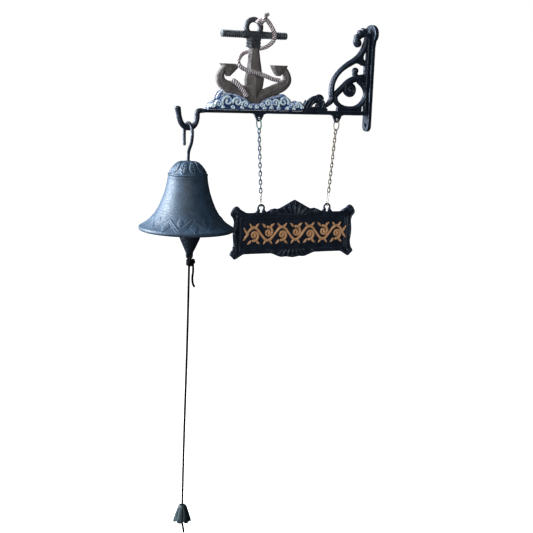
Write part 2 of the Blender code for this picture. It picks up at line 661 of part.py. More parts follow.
def build():
    clear_scene()
    iron = look("black_iron", (0.035, 0.045, 0.06), 0.5, 0.6)
    anchor_paint = look("anchor_brown", (0.10, 0.075, 0.07), 0.6, 0.3)
    sea_paint = look("sea_blue", (0.12, 0.25, 0.5), 0.5, 0.0)
    rope_paint = look("rope_paint", (0.6, 0.55, 0.58), 0.7, 0.0)
    bell_paint = look("bell_blue_grey", (0.16, 0.22, 0.3), 0.45, 0.5)
    steel = look("bright_steel", (0.6, 0.6, 0.58), 0.3, 0.9)
    cord_black = look("cord_black", (0.015, 0.015, 0.017), 0.9, 0.0)
    copper = look("copper_paint", (0.55, 0.27, 0.12), 0.45, 0.4)

    wall_plate(iron)
    scroll_brace(iron)
    support_arm(iron)
    saddle_hook(iron)
    leaf_scroll(iron)
    wave_base(sea_paint)
    anchor_body(anchor_paint)
    anchor_stock(anchor_paint)
    anchor_ring(anchor_paint)
    anchor_rope(rope_paint)

    bell = joint_empty("joint_bell_swing", at(0, SADDLE_HEIGHT))
    bell_dome(bell_paint, bell)
    hanger_hook(iron, bell)
    crown_fixings(steel, bell)

    eye_wire = EYE_HEIGHT - EYE_RADIUS
    link_bottom = eye_wire + HOOK_ROD_RADIUS + GAP + LINK_WIRE - 2 * LINK_RADIUS
    link = joint_empty("joint_link_swing", at(EYE_RADIUS, eye_wire), bell)
    clapper_link(steel, link)
    striker = joint_empty("joint_clapper_swing", at(EYE_RADIUS, link_bottom), link)
    clapper(iron, striker, link_bottom)
    loop = joint_empty("joint_loop_swing", at(EYE_RADIUS, CLAPPER_TAIL_HEIGHT), striker)
    cord_loop(cord_black, loop)
    cord_top = LOOP_BOTTOM - CORD_RADIUS
    cord = joint_empty("joint_cord_swing", at(EYE_RADIUS, cord_top), loop)
    stop_knot = WEIGHT_TOP - WEIGHT_HEIGHT + 2.5
    pull_cord(cord_black, cord, cord_top, stop_knot)
    knob("stop_knot", EYE_RADIUS, stop_knot, KNOT_RADIUS, cord_black, cord)
    pull_weight(iron, cord)

    rings = joint_empty("joint_sign_swing", at(SIGN_CENTRE, LUG_PIVOT))
    top, low = hung_line(-1)
    ring_bottom = TOP_RING_DROP + TOP_RING_RADIUS - TOP_RING_WIRE
    lower_top = (low - top).length - LOWER_RING_HEIGHT
    chains = {
        side: joint_empty(f"joint_{word}_chain", on_line(side, ring_bottom), rings)
        for side, word in ((-1, "left"), (1, "right"))
    }
    lower = joint_empty("joint_lower_rings", on_line(-1, lower_top), chains[-1])
    chain_side(-1, "left", -30, steel, rings, chains[-1], lower)
    chain_side(1, "right", -15, steel, rings, chains[1], lower)
    board = joint_empty("joint_sign_tilt", at(SIGN_CENTRE, SIGN_PIVOT), lower)
    sign_board(iron, copper, board)


build()
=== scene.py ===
"""The looks of the cast-iron wall bell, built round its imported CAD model.

Shapes are drawn in millimetres in the bracket's plane: x from the bell's axis towards the wall,
z up from the bell's rim, y square to the plane. place() turns a drawn point into the frame.
"""

import json
import math
import random
from collections import namedtuple

import bpy
import numpy as np
from mathutils import Matrix, Vector
from mathutils.geometry import tessellate_polygon


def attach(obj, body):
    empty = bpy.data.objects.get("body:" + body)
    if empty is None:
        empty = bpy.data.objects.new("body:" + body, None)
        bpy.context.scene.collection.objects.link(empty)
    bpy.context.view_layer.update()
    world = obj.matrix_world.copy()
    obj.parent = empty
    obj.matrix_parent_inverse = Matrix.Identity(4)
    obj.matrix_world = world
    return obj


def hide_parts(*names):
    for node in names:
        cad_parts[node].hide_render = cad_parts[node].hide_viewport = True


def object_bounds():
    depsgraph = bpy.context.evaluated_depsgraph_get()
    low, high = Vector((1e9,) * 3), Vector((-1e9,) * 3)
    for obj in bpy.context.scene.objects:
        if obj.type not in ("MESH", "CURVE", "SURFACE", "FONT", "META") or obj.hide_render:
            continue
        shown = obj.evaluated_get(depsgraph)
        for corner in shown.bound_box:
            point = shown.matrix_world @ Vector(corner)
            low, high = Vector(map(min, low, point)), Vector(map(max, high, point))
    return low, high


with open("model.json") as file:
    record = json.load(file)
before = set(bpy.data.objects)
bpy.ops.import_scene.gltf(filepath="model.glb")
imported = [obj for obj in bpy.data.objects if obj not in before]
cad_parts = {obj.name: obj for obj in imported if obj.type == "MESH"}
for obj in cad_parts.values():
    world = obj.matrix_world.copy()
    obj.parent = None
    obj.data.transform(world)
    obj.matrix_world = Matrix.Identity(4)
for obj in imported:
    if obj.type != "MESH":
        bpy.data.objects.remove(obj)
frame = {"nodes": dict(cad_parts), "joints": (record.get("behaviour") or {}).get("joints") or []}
cad_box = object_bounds()
NODES = frame["nodes"]
JOINTS = {joint["name"]: Vector(joint["pos_m"]) for joint in frame["joints"]}

# The drawing's origin: the bell's axis, at the height of its rim.
SADDLE_HEIGHT = 127.8
ORIGIN = JOINTS["bell_swing"] * 1000 - Vector((0, 0, SADDLE_HEIGHT))
MM = 0.001

# The camera's place in the drawing, its turn in degrees and its lens in millimetres.
CAMERA_PLACE = (-484, -1294, 212)
CAMERA_TURN = (24.76, 10.46, 2.34)
CAMERA_LENS = 74.97

ARM_SEAT = 150.6  # castings on the arm reach down to here, a little way into it
STRANDS = 3  # of every rope and cord

Finish = namedtuple("Finish", "material slot")


def place(x, y, z):
    return (ORIGIN + Vector((x, y, z))) * MM


def new_object(name, data):
    made = bpy.data.objects.new(name, data)
    bpy.context.scene.collection.objects.link(made)
    return made


def drawn(point):
    """A point of the frame, in drawing millimetres."""
    return Vector(point) / MM - ORIGIN


# ---- camera, light and floor


def make_camera():
    yaw, pitch, roll = (math.radians(a) for a in CAMERA_TURN)
    forward = Vector(
        (math.sin(yaw) * math.cos(pitch), math.cos(yaw) * math.cos(pitch), -math.sin(pitch))
    )
    level = Vector((math.cos(yaw), -math.sin(yaw), 0))
    above = level.cross(forward)
    right = level * math.cos(roll) + above * math.sin(roll)
    up = above * math.cos(roll) - level * math.sin(roll)
    data = bpy.data.cameras.new("camera")
    data.lens = CAMERA_LENS
    data.sensor_width = 36.0
    data.clip_end = 30
    camera = new_object("camera", data)
    turn = Matrix((right, up, -forward)).transposed().to_4x4()
    camera.matrix_world = Matrix.Translation(place(*CAMERA_PLACE)) @ turn
    bpy.context.scene.camera = camera


def area_light(name, towards, distance, size, power, colour, target):
    data = bpy.data.lights.new(name, "AREA")
    data.shape = "RECTANGLE"
    data.size, data.size_y = size
    data.energy = power
    data.color = colour
    light = new_object(name, data)
    light.location = target + Vector(towards).normalized() * distance
    light.rotation_euler = (target - light.location).to_track_quat("-Z", "Y").to_euler()


def make_world():
    """A white surround that lights the object softly, more from its left than from its right."""
    world = bpy.data.worlds.new("studio")
    bpy.context.scene.world = world
    world.use_nodes = True
    tree = world.node_tree
    tree.nodes.clear()
    new = tree.nodes.new
    coordinate = new("ShaderNodeTexCoord")
    split = new("ShaderNodeSeparateXYZ")
    side = new("ShaderNodeMapRange")
    side.inputs["From Min"].default_value = -1.0
    side.inputs["From Max"].default_value = 0.6
    side.inputs["To Min"].default_value = 0.30
    side.inputs["To Max"].default_value = 0.03
    soft = new("ShaderNodeBackground")
    soft.inputs["Color"].default_value = (0.86, 0.93, 1.0, 1)
    white = new("ShaderNodeBackground")
    white.inputs["Color"].default_value = (1, 1, 1, 1)
    path = new("ShaderNodeLightPath")
    mix = new("ShaderNodeMixShader")
    out = new("ShaderNodeOutputWorld")
    link = tree.links.new
    link(coordinate.outputs["Generated"], split.inputs[0])
    link(split.outputs["X"], side.inputs["Value"])
    link(side.outputs["Result"], soft.inputs["Strength"])
    link(path.outputs["Is Camera Ray"], mix.inputs["Fac"])
    link(soft.outputs[0], mix.inputs[1])
    link(white.outputs[0], mix.inputs[2])
    link(mix.outputs[0], out.inputs["Surface"])


def make_floor():
    low, high = cad_box
    centre = (Vector(low) + Vector(high)) / 2
    drop = 0.30  # metres below the part
    half = 9.0
    corners = [(-half, -half), (half, -half), (half, half), (-half, half)]
    points = [(centre.x + x, centre.y + y, low[2] - drop) for x, y in corners]
    mesh = bpy.data.meshes.new("floor")
    mesh.from_pydata(points, [], [(0, 1, 2, 3)])
    floor = new_object("floor", mesh)
    paint = bpy.data.materials.new("pale_floor")
    paint.use_nodes = True
    shader = paint.node_tree.nodes["Principled BSDF"]
    shader.inputs["Base Color"].default_value = (0.92, 0.92, 0.92, 1)
    shader.inputs["Roughness"].default_value = 0.9
    shader.inputs["Emission Color"].default_value = (1, 1, 1, 1)
    shader.inputs["Emission Strength"].default_value = 1.0
    mesh.materials.append(paint)
    # The floor is bright to look at, and the object's undersides stay in shade.
    floor.visible_diffuse = False
    floor.visible_glossy = False
    return centre


# ---- curves and closed shells


def spline_point(p0, p1, p2, p3, t):
    """One point of a Catmull-Rom curve between p1 and p2."""
    return tuple(
        0.5
        * (
            2 * b + (c - a) * t
            + (2 * a - 5 * b + 4 * c - d) * t**2
            + (3 * b - a - 3 * c + d) * t**3
        )
        for a, b, c, d in zip(p0, p1, p2, p3)
    )


def smooth_path(points, steps):
    """An open smooth curve through the points, with steps pieces between neighbours."""
    padded = [points[0], *points, points[-1]]
    made = [
        spline_point(*padded[i : i + 4], step / steps)
        for i in range(len(points) - 1)
        for step in range(steps)
    ]
    return [*made, tuple(points[-1])]


def arc(centre, radius, start, end, steps):
    """Points on a circle, angles in degrees."""
    angles = [math.radians(start + (end - start) * i / steps) for i in range(steps + 1)]
    return [(centre[0] + radius * math.cos(a), centre[1] + radius * math.sin(a)) for a in angles]


class Shape:
    """Closed shells in drawing millimetres, gathered into one mesh."""

    def __init__(self):
        self.points = []
        self.faces = []

    def mesh(self, name):
        """The shells as a mesh in the frame."""
        mesh = bpy.data.meshes.new(name)
        mesh.from_pydata([place(*point) for point in self.points], [], self.faces)
        return mesh

    def skin(self, rings, loop=False):
        """A tube through rings of points. Its ends are closed, or joined when it is a loop."""
        start = len(self.points)
        count = len(rings[0])
        for ring in rings:
            self.points.extend(tuple(float(v) for v in point) for point in ring)
        for i in range(len(rings) if loop else len(rings) - 1):
            a = start + i * count
            b = start + (i + 1) % len(rings) * count
            for k in range(count):
                m = (k + 1) % count
                self.faces.append((a + k, a + m, b + m, b + k))
        if not loop:
            end = start + (len(rings) - 1) * count
            self.faces.append(tuple(range(start + count - 1, start - 1, -1)))
            self.faces.append(tuple(range(end, end + count)))

    def stroke(self, line, depth, y=0.0, steps=4, sides=14, square=1.0):
        """A bar along (x, z, half width) points, depth deep each way from y, with round ends."""
        path = np.array(smooth_path(line, steps)) if steps > 1 else np.array(line, float)
        along = np.gradient(path[:, :2], axis=0)
        along /= np.linalg.norm(along, axis=1)[:, None] + 1e-9
        rows = [(path[i, 0], path[i, 1], path[i, 2], 1.0, along[i]) for i in range(len(path))]
        caps = [math.radians(a) for a in (30, 55, 78)]
        head = [end_cap(rows[0], -1, a) for a in reversed(caps)]
        tail = [end_cap(rows[-1], 1, a) for a in caps]
        angles = [math.tau * k / sides for k in range(sides)]
        rings = []
        for x, z, half, shrink, t in [*head, *rows, *tail]:
            ring = []
            for a in angles:
                u = half * bend(math.cos(a), square)
                v = depth * shrink * bend(math.sin(a), square)
                ring.append((x - t[1] * u, y + v, z + t[0] * u))
            rings.append(ring)
        self.skin(rings)

    def rod(self, line, radii, steps=4):
        """A round rod along (x, z, y) points, with its radii spread evenly along it."""
        path = np.array([(x, y, z) for x, z, y in smooth_path(line, steps)])
        share = np.linspace(0, 1, len(radii))
        radius = np.interp(np.linspace(0, 1, len(path)), share, radii)
        across, over = frames_along(path)
        rings = []
        for centre, u, v, r in zip(path, across, over, radius):
            angles = [math.tau * k / 14 for k in range(14)]
            rings.append([centre + r * (u * math.cos(a) + v * math.sin(a)) for a in angles])
        self.skin(rings)

    def blob(self, x, z, rx, rz=None, ry=None, y=0.0):
        """An ellipsoid."""
        rz = rz or rx
        ry = ry or rx
        rows = 12
        sides = 18
        rings = []
        for i in range(1, rows):
            tilt = math.pi * i / rows
            across = math.sin(tilt)
            ring = []
            for k in range(sides):
                a = math.tau * k / sides
                ring.append((
                    x + rx * across * math.cos(a),
                    y + ry * across * math.sin(a),
                    z + rz * math.cos(tilt),
                ))
            rings.append(ring)
        self.skin(rings)

    def plate(self, loops, low, high):
        """A flat plate: an outline and its holes, from y = low to y = high."""
        start = len(self.points)
        flat = [point for loop in loops for point in loop]
        count = len(flat)
        self.points.extend((x, low, z) for x, z in flat)
        self.points.extend((x, high, z) for x, z in flat)
        for face in tessellate_polygon([[Vector((*point, 0)) for point in loop] for loop in loops]):
            self.faces.append(tuple(start + i for i in face))
            self.faces.append(tuple(start + count + i for i in reversed(face)))
        base = start
        for loop in loops:
            for i in range(len(loop)):
                a = base + i
                b = base + (i + 1) % len(loop)
                self.faces.append((a, b, b + count, a + count))
            base += len(loop)

    def spiral(self, x, z, radius, start, turns, width, depth, y=0.0, end=0.25, ball=0.0):
        """A curl from its outside in: start in degrees, turns signed, width tapering to its end."""
        steps = max(10, int(abs(turns) * 20))
        line = []
        for i in range(steps + 1):
            t = i / steps
            a = math.radians(start) + math.tau * turns * t
            r = radius * (1 - (1 - end) * t**0.85)
            line.append((x + r * math.cos(a), z + r * math.sin(a), width * (1 - 0.45 * t)))
        self.stroke(line, depth, y, steps=1, sides=12)
        if ball:
            self.blob(line[-1][0], line[-1][1], ball, ball, depth * 1.15, y)

    def loft(self, sections):
        """Eight-sided sections (z, left, right, half depth, ridge): ridge pushes the middle out."""
        rings = []
        for z, left, right, depth, ridge in sections:
            middle = (left + right) / 2
            cut = min(0.28 * (right - left), depth * 0.9)
            front = [
                (left, 0), (left + cut, -depth), (middle, -depth - ridge), (right - cut, -depth),
                (right, 0),
            ]
            back = [(x, -y) for x, y in reversed(front[1:-1])]
            rings.append([(x, y, z) for x, y in [*front, *back]])
        self.skin(rings)


def end_cap(row, way, angle):
    x, z, half, _, t = row
    reach = way * half * math.sin(angle)
    return (x + t[0] * reach, z + t[1] * reach, half * math.cos(angle), math.cos(angle), t)


def bend(value, power):
    return math.copysign(abs(value) ** power, value)


def frames_along(path, loop=False):
    """Two directions across a path at each of its points, turned no more than the path turns."""
    path = np.asarray(path, float)
    ahead = np.roll(path, -1, axis=0) if loop else np.vstack([path[1:], path[-1:]])
    behind = np.roll(path, 1, axis=0) if loop else np.vstack([path[:1], path[:-1]])
    along = ahead - behind
    along /= np.linalg.norm(along, axis=1)[:, None]
    helper = np.array((0.0, 1.0, 0.0)) if abs(along[0][1]) < 0.8 else np.array((1.0, 0.0, 0.0))
    across = [np.cross(along[0], helper)]
    for t in along[1:]:
        previous = across[-1]
        across.append(previous - t * previous.dot(t))
    across = np.array([u / np.linalg.norm(u) for u in across])
    return across, np.cross(along, across)


# ---- pieces


def add_piece(name, mesh, body, finish, nodes):
    piece = new_object(name, mesh)
    mesh.materials.clear()
    mesh.materials.append(finish.material)
    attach(piece, body)
    if nodes:
        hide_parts(*nodes)
    return piece


def add_shell(name, rings, body, finish, nodes):
    """A piece that is one closed skin through rings of points, its sharp edges kept."""
    shape = Shape()
    shape.skin(rings, loop=True)
    mesh = shape.mesh(name)
    mesh.shade_smooth()
    mesh.set_sharp_from_angle(angle=math.radians(60))
    return add_piece(name, mesh, body, finish, nodes)


def add_applied(scratch, name, body, finish, nodes):
    """A piece made of the scratch object's mesh with its modifiers in it."""
    bpy.context.view_layer.update()
    graph = bpy.context.evaluated_depsgraph_get()
    mesh = bpy.data.meshes.new_from_object(scratch.evaluated_get(graph))
    bpy.data.objects.remove(scratch)
    mesh.name = name
    mesh.shade_smooth()
    return add_piece(name, mesh, body, finish, nodes)


def cloud(size):
    texture = bpy.data.textures.new("lumps", "CLOUDS")
    texture.noise_scale = size * MM
    texture.noise_depth = 2
    return texture


def cast(name, shape, body, finish, nodes, voxel=0.5, smooth=3, rough=0.12):
    """Fuses a shape's shells into one skin with soft fillets and the unevenness of a casting."""
    mesh = shape.mesh(name) if isinstance(shape, Shape) else shape.data.copy()
    scratch = new_object("scratch", mesh)
    fused = scratch.modifiers.new("Fuse", "REMESH")
    fused.mode = "VOXEL"
    fused.voxel_size = voxel * MM
    soft = scratch.modifiers.new("Soften", "SMOOTH")
    soft.iterations = smooth
    soft.factor = 0.5
    # Fine lumps and broad ones, by their size and their share of the roughness.
    for size, share in ((2.2, 1.0), (7.7, 1.3)):
        uneven = scratch.modifiers.new("Uneven", "DISPLACE")
        uneven.texture = cloud(size)
        uneven.texture_coords = "LOCAL"
        uneven.mid_level = 0.5
        uneven.strength = rough * share * MM
    return add_applied(scratch, name, body, finish, nodes)


def rewire(node, body, finish, grow):
    """A finer copy of a bent-wire CAD node, grow millimetres thicker all round."""
    scratch = new_object("scratch", NODES[node].data.copy())
    weld = scratch.modifiers.new("Weld", "WELD")
    weld.merge_threshold = 0.00001
    finer = scratch.modifiers.new("Finer", "SUBSURF")
    finer.levels = 2
    fill = scratch.modifiers.new("Fill", "DISPLACE")
    fill.mid_level = 0.0
    fill.strength = grow * MM
    return add_applied(scratch, node + "_wire", body, finish, [node])


def twisted(name, path, radius, pitch, body, finish, nodes=(), groove=0.2, loop=False):
    """A laid cord or rope along (x, y, z) points: its strands wind round it once each pitch."""
    path = np.asarray(path, float)
    across, over = frames_along(path, loop)
    gaps = np.linalg.norm(np.diff(path, axis=0), axis=1)
    run = np.concatenate([[0.0], np.cumsum(gaps)])
    if loop:
        whole = run[-1] + np.linalg.norm(path[0] - path[-1])
        pitch = whole / max(1, round(whole / pitch))
    sides = STRANDS * 8
    shape = Shape()
    rings = []
    depth = []
    for centre, u, v, s in zip(path, across, over, run):
        ring = []
        for k in range(sides):
            a = math.tau * k / sides
            lobe = abs(math.cos(STRANDS / 2 * (a - math.tau * s / pitch)))
            r = radius * (1 - groove + groove * lobe**0.6)
            ring.append(centre + r * (u * math.cos(a) + v * math.sin(a)))
            depth.append(lobe)
        rings.append(ring)
    shape.skin(rings, loop)
    mesh = shape.mesh(name)
    crest = mesh.attributes.new("crest", "FLOAT", "POINT")
    crest.data.foreach_set("value", np.array(depth, np.float32))
    mesh.update()
    mesh.shade_smooth()
    return add_piece(name, mesh, body, finish, nodes)


# ---- materials


class Paint:
    """A Principled material and short ways to wire its nodes."""

    def __init__(self, name, roughness, metallic, specular=0.5):
        self.material = bpy.data.materials.new(name)
        self.material.use_nodes = True
        self.tree = self.material.node_tree
        self.shader = self.tree.nodes["Principled BSDF"]
        self.shader.inputs["Roughness"].default_value = roughness
        self.shader.inputs["Metallic"].default_value = metallic
        self.shader.inputs["Specular IOR Level"].default_value = specular
        self.where = self.tree.nodes.new("ShaderNodeTexCoord").outputs["Object"]

    def feed(self, socket, value):
        """Links an output to the socket, or sets it to a number or a colour."""
        if isinstance(value, bpy.types.NodeSocket):
            self.tree.links.new(value, socket)
        else:
            socket.default_value = (*value, 1) if isinstance(value, tuple) else value

    def node(self, kind, **inputs):
        made = self.tree.nodes.new("ShaderNode" + kind)
        for key, value in inputs.items():
            self.feed(made.inputs[key.replace("_", " ")], value)
        return made

    def noise(self, size, detail=4.0, roughness=0.6, distortion=0.0):
        """Noise whose lumps are about size millimetres across, from 0 to 1."""
        made = self.node(
            "TexNoise", Vector=self.where, Scale=1000.0 / size, Detail=detail,
            Roughness=roughness, Distortion=distortion,
        )
        return made.outputs["Fac"]

    def pits(self, size):
        made = self.node("TexVoronoi", Vector=self.where, Scale=1000.0 / size)
        return made.outputs["Distance"]

    def ramp(self, value, low, high, start=0.0, end=1.0):
        """value from low to high becomes start to end, held at the ends."""
        made = self.node(
            "MapRange", Value=value, From_Min=low, From_Max=high, To_Min=start, To_Max=end
        )
        return made.outputs["Result"]

    def mix(self, share, first, second):
        return self.node("MixRGB", Fac=share, Color1=first, Color2=second).outputs[0]

    def product(self, first, second):
        made = self.tree.nodes.new("ShaderNodeMath")
        made.operation = "MULTIPLY"
        made.use_clamp = True
        for socket, value in zip(made.inputs, (first, second)):
            self.feed(socket, value)
        return made.outputs[0]

    def pointiness(self):
        """Above 0.5 on outer edges and below it in hollows."""
        return self.tree.nodes.new("ShaderNodeNewGeometry").outputs["Pointiness"]

    def crest(self):
        """1 on the crown of a strand made by twisted(), and 0 between strands."""
        attribute = self.tree.nodes.new("ShaderNodeAttribute")
        attribute.attribute_name = "crest"
        return attribute.outputs["Fac"]

    def colour(self, socket):
        self.tree.links.new(socket, self.shader.inputs["Base Color"])

    def rough(self, socket):
        self.tree.links.new(socket, self.shader.inputs["Roughness"])

    def bumps(self, *layers):
        """Layers of (height, millimetres deep), from coarse to fine."""
        normal = None
        for height, depth in layers:
            made = self.node("Bump", Height=height, Distance=depth * MM)
            made.inputs["Strength"].default_value = 1.0
            if normal:
                self.tree.links.new(normal, made.inputs["Normal"])
            normal = made.outputs[0]
        self.tree.links.new(normal, self.shader.inputs["Normal"])


def cast_paint(
    name, dark, light, wear_and_highlight, roughness, metallic, grain=0.10, highlight_and_wear_band=(0.52, 0.6), slot=None
):
    """Satin paint over a sand casting: patchy colour, edges lighter from rubbed wear and a painted
    highlight, sand grain and small pits.
    """
    paint = Paint(name, roughness, metallic)
    patches = paint.ramp(paint.noise(9.0, 5.0), 0.35, 0.68)
    fine = paint.ramp(paint.noise(0.9, 3.0), 0.3, 0.75)
    body = paint.mix(patches, dark, light)
    body = paint.mix(paint.product(fine, 0.35), body, light)
    # Outer edges take the third colour: partly rubbed paint, partly a painted highlight.
    rubbed_and_highlit = paint.product(
        paint.ramp(paint.pointiness(), *highlight_and_wear_band), paint.ramp(paint.noise(1.6), 0.25, 0.6)
    )
    paint.colour(paint.mix(rubbed_and_highlit, body, wear_and_highlight))
    paint.rough(paint.ramp(paint.noise(2.5), 0.3, 0.7, roughness - 0.1, roughness + 0.12))
    pits = paint.ramp(paint.pits(2.2), 0.0, 0.22)
    paint.bumps(
        (paint.noise(5.0, 2.0), grain * 2.5), (pits, grain * 0.7), (paint.noise(0.55, 3.0), grain)
    )
    return Finish(paint.material, slot or name)


def wave_paint():
    """Blue paint, brushed white and cyan where the waves stand out, with painted shade, near black,
    in their hollows and creases.
    """
    paint = Paint("sea_blue", 0.4, 0.0)
    blue = paint.mix(
        paint.ramp(paint.noise(6.0, 3.0), 0.38, 0.62), (0.012, 0.065, 0.30), (0.05, 0.21, 0.64)
    )
    split = paint.node("SeparateXYZ", Vector=paint.where)
    from_middle = paint.node("Math", Value=split.outputs["Y"])
    from_middle.operation = "ABSOLUTE"
    uneven = paint.ramp(paint.noise(3.0, 3.0), 0.3, 0.7, 0.92, 1.08)
    stand = paint.product(from_middle.outputs[0], uneven)
    point = paint.pointiness()
    # Painted shade: recessed parts and creases are darkened towards near black.
    painted_shade_hollow = paint.ramp(stand, 0.0056, 0.0064, 1.0, 0.0)
    painted_shade_crease = paint.ramp(point, 0.43, 0.485, 1.0, 0.0)
    body = paint.mix(paint.product(painted_shade_hollow, 0.85), blue, (0.006, 0.012, 0.035))
    body = paint.mix(painted_shade_crease, body, (0.004, 0.008, 0.025))
    streak = paint.ramp(paint.noise(5.0, 3.0, 0.6, 0.5), 0.36, 0.50)
    high = paint.product(paint.ramp(stand, 0.0064, 0.0074), streak)
    body = paint.mix(high, body, (0.66, 0.90, 1.0))
    white = paint.product(paint.ramp(point, 0.50, 0.54), paint.ramp(paint.noise(4.0), 0.36, 0.50))
    paint.colour(paint.mix(white, body, (0.95, 0.98, 1.0)))
    paint.bumps((paint.noise(1.6, 3.0), 0.14), (paint.noise(0.5, 3.0), 0.05))
    return Finish(paint.material, "sea_blue")


def rope_paint():
    """Off-white and lilac paint on the strands, with painted shade, near black, between them."""
    paint = Paint("rope_paint", 0.6, 0.0)
    tint = paint.mix(
        paint.ramp(paint.noise(6.0, 3.0), 0.36, 0.62), (0.74, 0.68, 0.74), (0.52, 0.38, 0.40)
    )
    tint = paint.mix(paint.ramp(paint.noise(2.2, 3.0), 0.45, 0.62), tint, (0.90, 0.89, 0.92))
    # Painted shade: the grooves between the strands go near black.
    strand = paint.ramp(paint.crest(), 0.35, 0.85)
    body = paint.mix(strand, (0.035, 0.03, 0.035), tint)
    paint.colour(body)
    paint.bumps((paint.noise(0.8, 3.0), 0.12))
    return Finish(paint.material, "rope_paint")


def cord_paint():
    """Black laid cord: dull fibres, with painted shade between the strands, so each strand is
    lighter along its crown.
    """
    paint = Paint("black_cord", 0.95, 0.0, 0.1)
    # Painted shade: darker between the strands than on their crowns.
    strand = paint.ramp(paint.crest(), 0.3, 1.0)
    fibres = paint.ramp(paint.noise(0.35, 3.0), 0.3, 0.7)
    body = paint.mix(strand, (0.001, 0.001, 0.002), (0.004, 0.004, 0.005))
    paint.colour(paint.mix(paint.product(fibres, 0.5), body, (0.007, 0.007, 0.009)))
    paint.bumps((paint.noise(0.3, 2.0), 0.08))
    return Finish(paint.material, "black_cord")


def wire_metal(name, dark, light, roughness, metallic, slot=None):
    """Plated wire with small dull patches."""
    paint = Paint(name, roughness, metallic)
    paint.colour(paint.mix(paint.ramp(paint.noise(1.5, 4.0), 0.38, 0.66), light, dark))
    paint.rough(paint.ramp(paint.noise(0.8), 0.3, 0.7, roughness - 0.08, roughness + 0.15))
    paint.bumps((paint.noise(0.4, 2.0), 0.03))
    return Finish(paint.material, slot or name)


def copper_paint():
    """Copper-tan paint on the raised work, with painted shade in its hollows and a painted
    highlight on its outer edges.
    """
    paint = Paint("copper_paint", 0.5, 0.15)
    tan = paint.mix(
        paint.ramp(paint.noise(7.0, 4.0), 0.36, 0.64), (0.76, 0.44, 0.24), (0.60, 0.31, 0.14)
    )
    point = paint.pointiness()
    # Painted shade: the hollows are darkened.
    low = paint.ramp(point, 0.44, 0.50, 1.0, 0.0)
    body = paint.mix(paint.product(low, 0.8), tan, (0.10, 0.04, 0.02))
    # Painted highlight: paler tan on the outer edges.
    high = paint.product(paint.ramp(point, 0.52, 0.58), paint.ramp(paint.noise(2.0), 0.35, 0.6))
    paint.colour(paint.mix(high, body, (0.92, 0.68, 0.47)))
    paint.bumps((paint.noise(3.0, 2.0), 0.2), (paint.noise(0.5, 3.0), 0.06))
    return Finish(paint.material, "copper_paint")


# ---- the bell


def bell_relief(turn, height):
    """How far the cast relief stands out, in mm, at a turn (radians) and a height."""
    relief = 0.0
    if 72.0 < height < 86.3:
        # Leaves that point down from the crown, each with a vein.
        along = (86.3 - height) / 14.3
        leaves = 10
        across = abs((turn * leaves / math.tau) % 1 - 0.5) * 2
        half = math.sin(math.pi * min(1.0, along * 1.02)) ** 0.6 * 0.86
        inside = clamp((half - across) * 7)
        vein = 1 - clamp(across * 9)
        side = 0.5 + 0.5 * math.cos(26 * along + 9 * across)
        relief += inside * (0.75 + 0.28 * side - 0.45 * vein)
    relief += 0.75 * bump(height - 70.3, 1.0)
    relief -= 0.35 * bump(height - 68.3, 0.7)
    for ring, tall in ((25.2, 0.5), (22.4, 0.35)):
        relief += tall * bump(height - ring, 0.7)
    if 3.8 < height < 19.5:
        along = clamp((19.5 - height) / 15.7)
        repeats = 9
        phase = (turn * repeats / math.tau) % 1
        wave = abs(phase - 0.5) * 2
        fade = clamp(along * 9) * clamp((1 - along) * 9)
        for offset, tall in ((0.0, 0.6), (0.17, 0.38)):
            line = 0.02 + 0.80 * wave + offset
            relief += tall * fade * bump((along - line) * 13, 0.75)
        leaf_half = 0.17 * math.sin(math.pi * clamp((along - 0.30) / 0.62)) + 1e-6
        leaf = 1 - abs(phase - 0.5) / leaf_half
        relief += 0.5 * clamp(leaf * 2.2) * (along > 0.30)
        second = (phase + 0.5) % 1
        spray_half = 0.13 * math.sin(math.pi * clamp(along / 0.60)) + 1e-6
        spray = 1 - abs(second - 0.5) / spray_half
        relief += 0.45 * clamp(spray * 2.2) * (along < 0.60)
    return relief


def clamp(value):
    return min(1.0, max(0.0, value))


def bump(distance, width):
    return math.exp(-((distance / width) ** 2))


def make_bell(finish):
    """The bell, as one skin turned round its axis from (radius, height) points."""
    outer = [
        (2.5, 87), (8.4, 86.3), (13.6, 83.8), (18.4, 79.2), (22.4, 73.4), (24.7, 69.8),
        (25.2, 64), (26.5, 57), (28.2, 49.7), (30.6, 42), (33.8, 33.7), (38.2, 24.2),
        (43.4, 17), (48, 11.6), (53, 7.8), (57.6, 5.2), (59.4, 4.2), (60.0, 2.2), (59.4, 0.4),
        (58.2, -0.3),
    ]
    inner = [
        (56.6, 0.2), (50, 6), (44.8, 10.4), (39.6, 16), (35.6, 22), (31.8, 29.5), (28.2, 38),
        (25.4, 47), (23.3, 57), (21.8, 67), (18.6, 74.6), (14, 80), (8, 83.5), (2.5, 83.5),
    ]
    finest = smooth_path(outer, 12)
    profile = [(r, z, True) for r, z in finest] + [(r, z, False) for r, z in smooth_path(inner, 4)]
    segments = 432
    rings = []
    for i, (radius, height, outside) in enumerate(profile):
        ahead = finest[min(i + 1, len(finest) - 1)] if outside else (0, 0)
        behind = finest[max(i - 1, 0)] if outside else (0, 0)
        step = Vector((ahead[0] - behind[0], ahead[1] - behind[1]))
        out = Vector((-step.y, step.x)).normalized() if outside and step.length else Vector((0, 0))
        ring = []
        for k in range(segments):
            turn = math.tau * k / segments
            push = bell_relief(turn, height) if outside else 0.0
            reach = radius + out.x * push
            ring.append((reach * math.cos(turn), reach * math.sin(turn), height + out.y * push))
        rings.append(ring)
    add_shell("bell_casting", rings, "bell", finish, ["bell_dome"])


# ---- the bracket


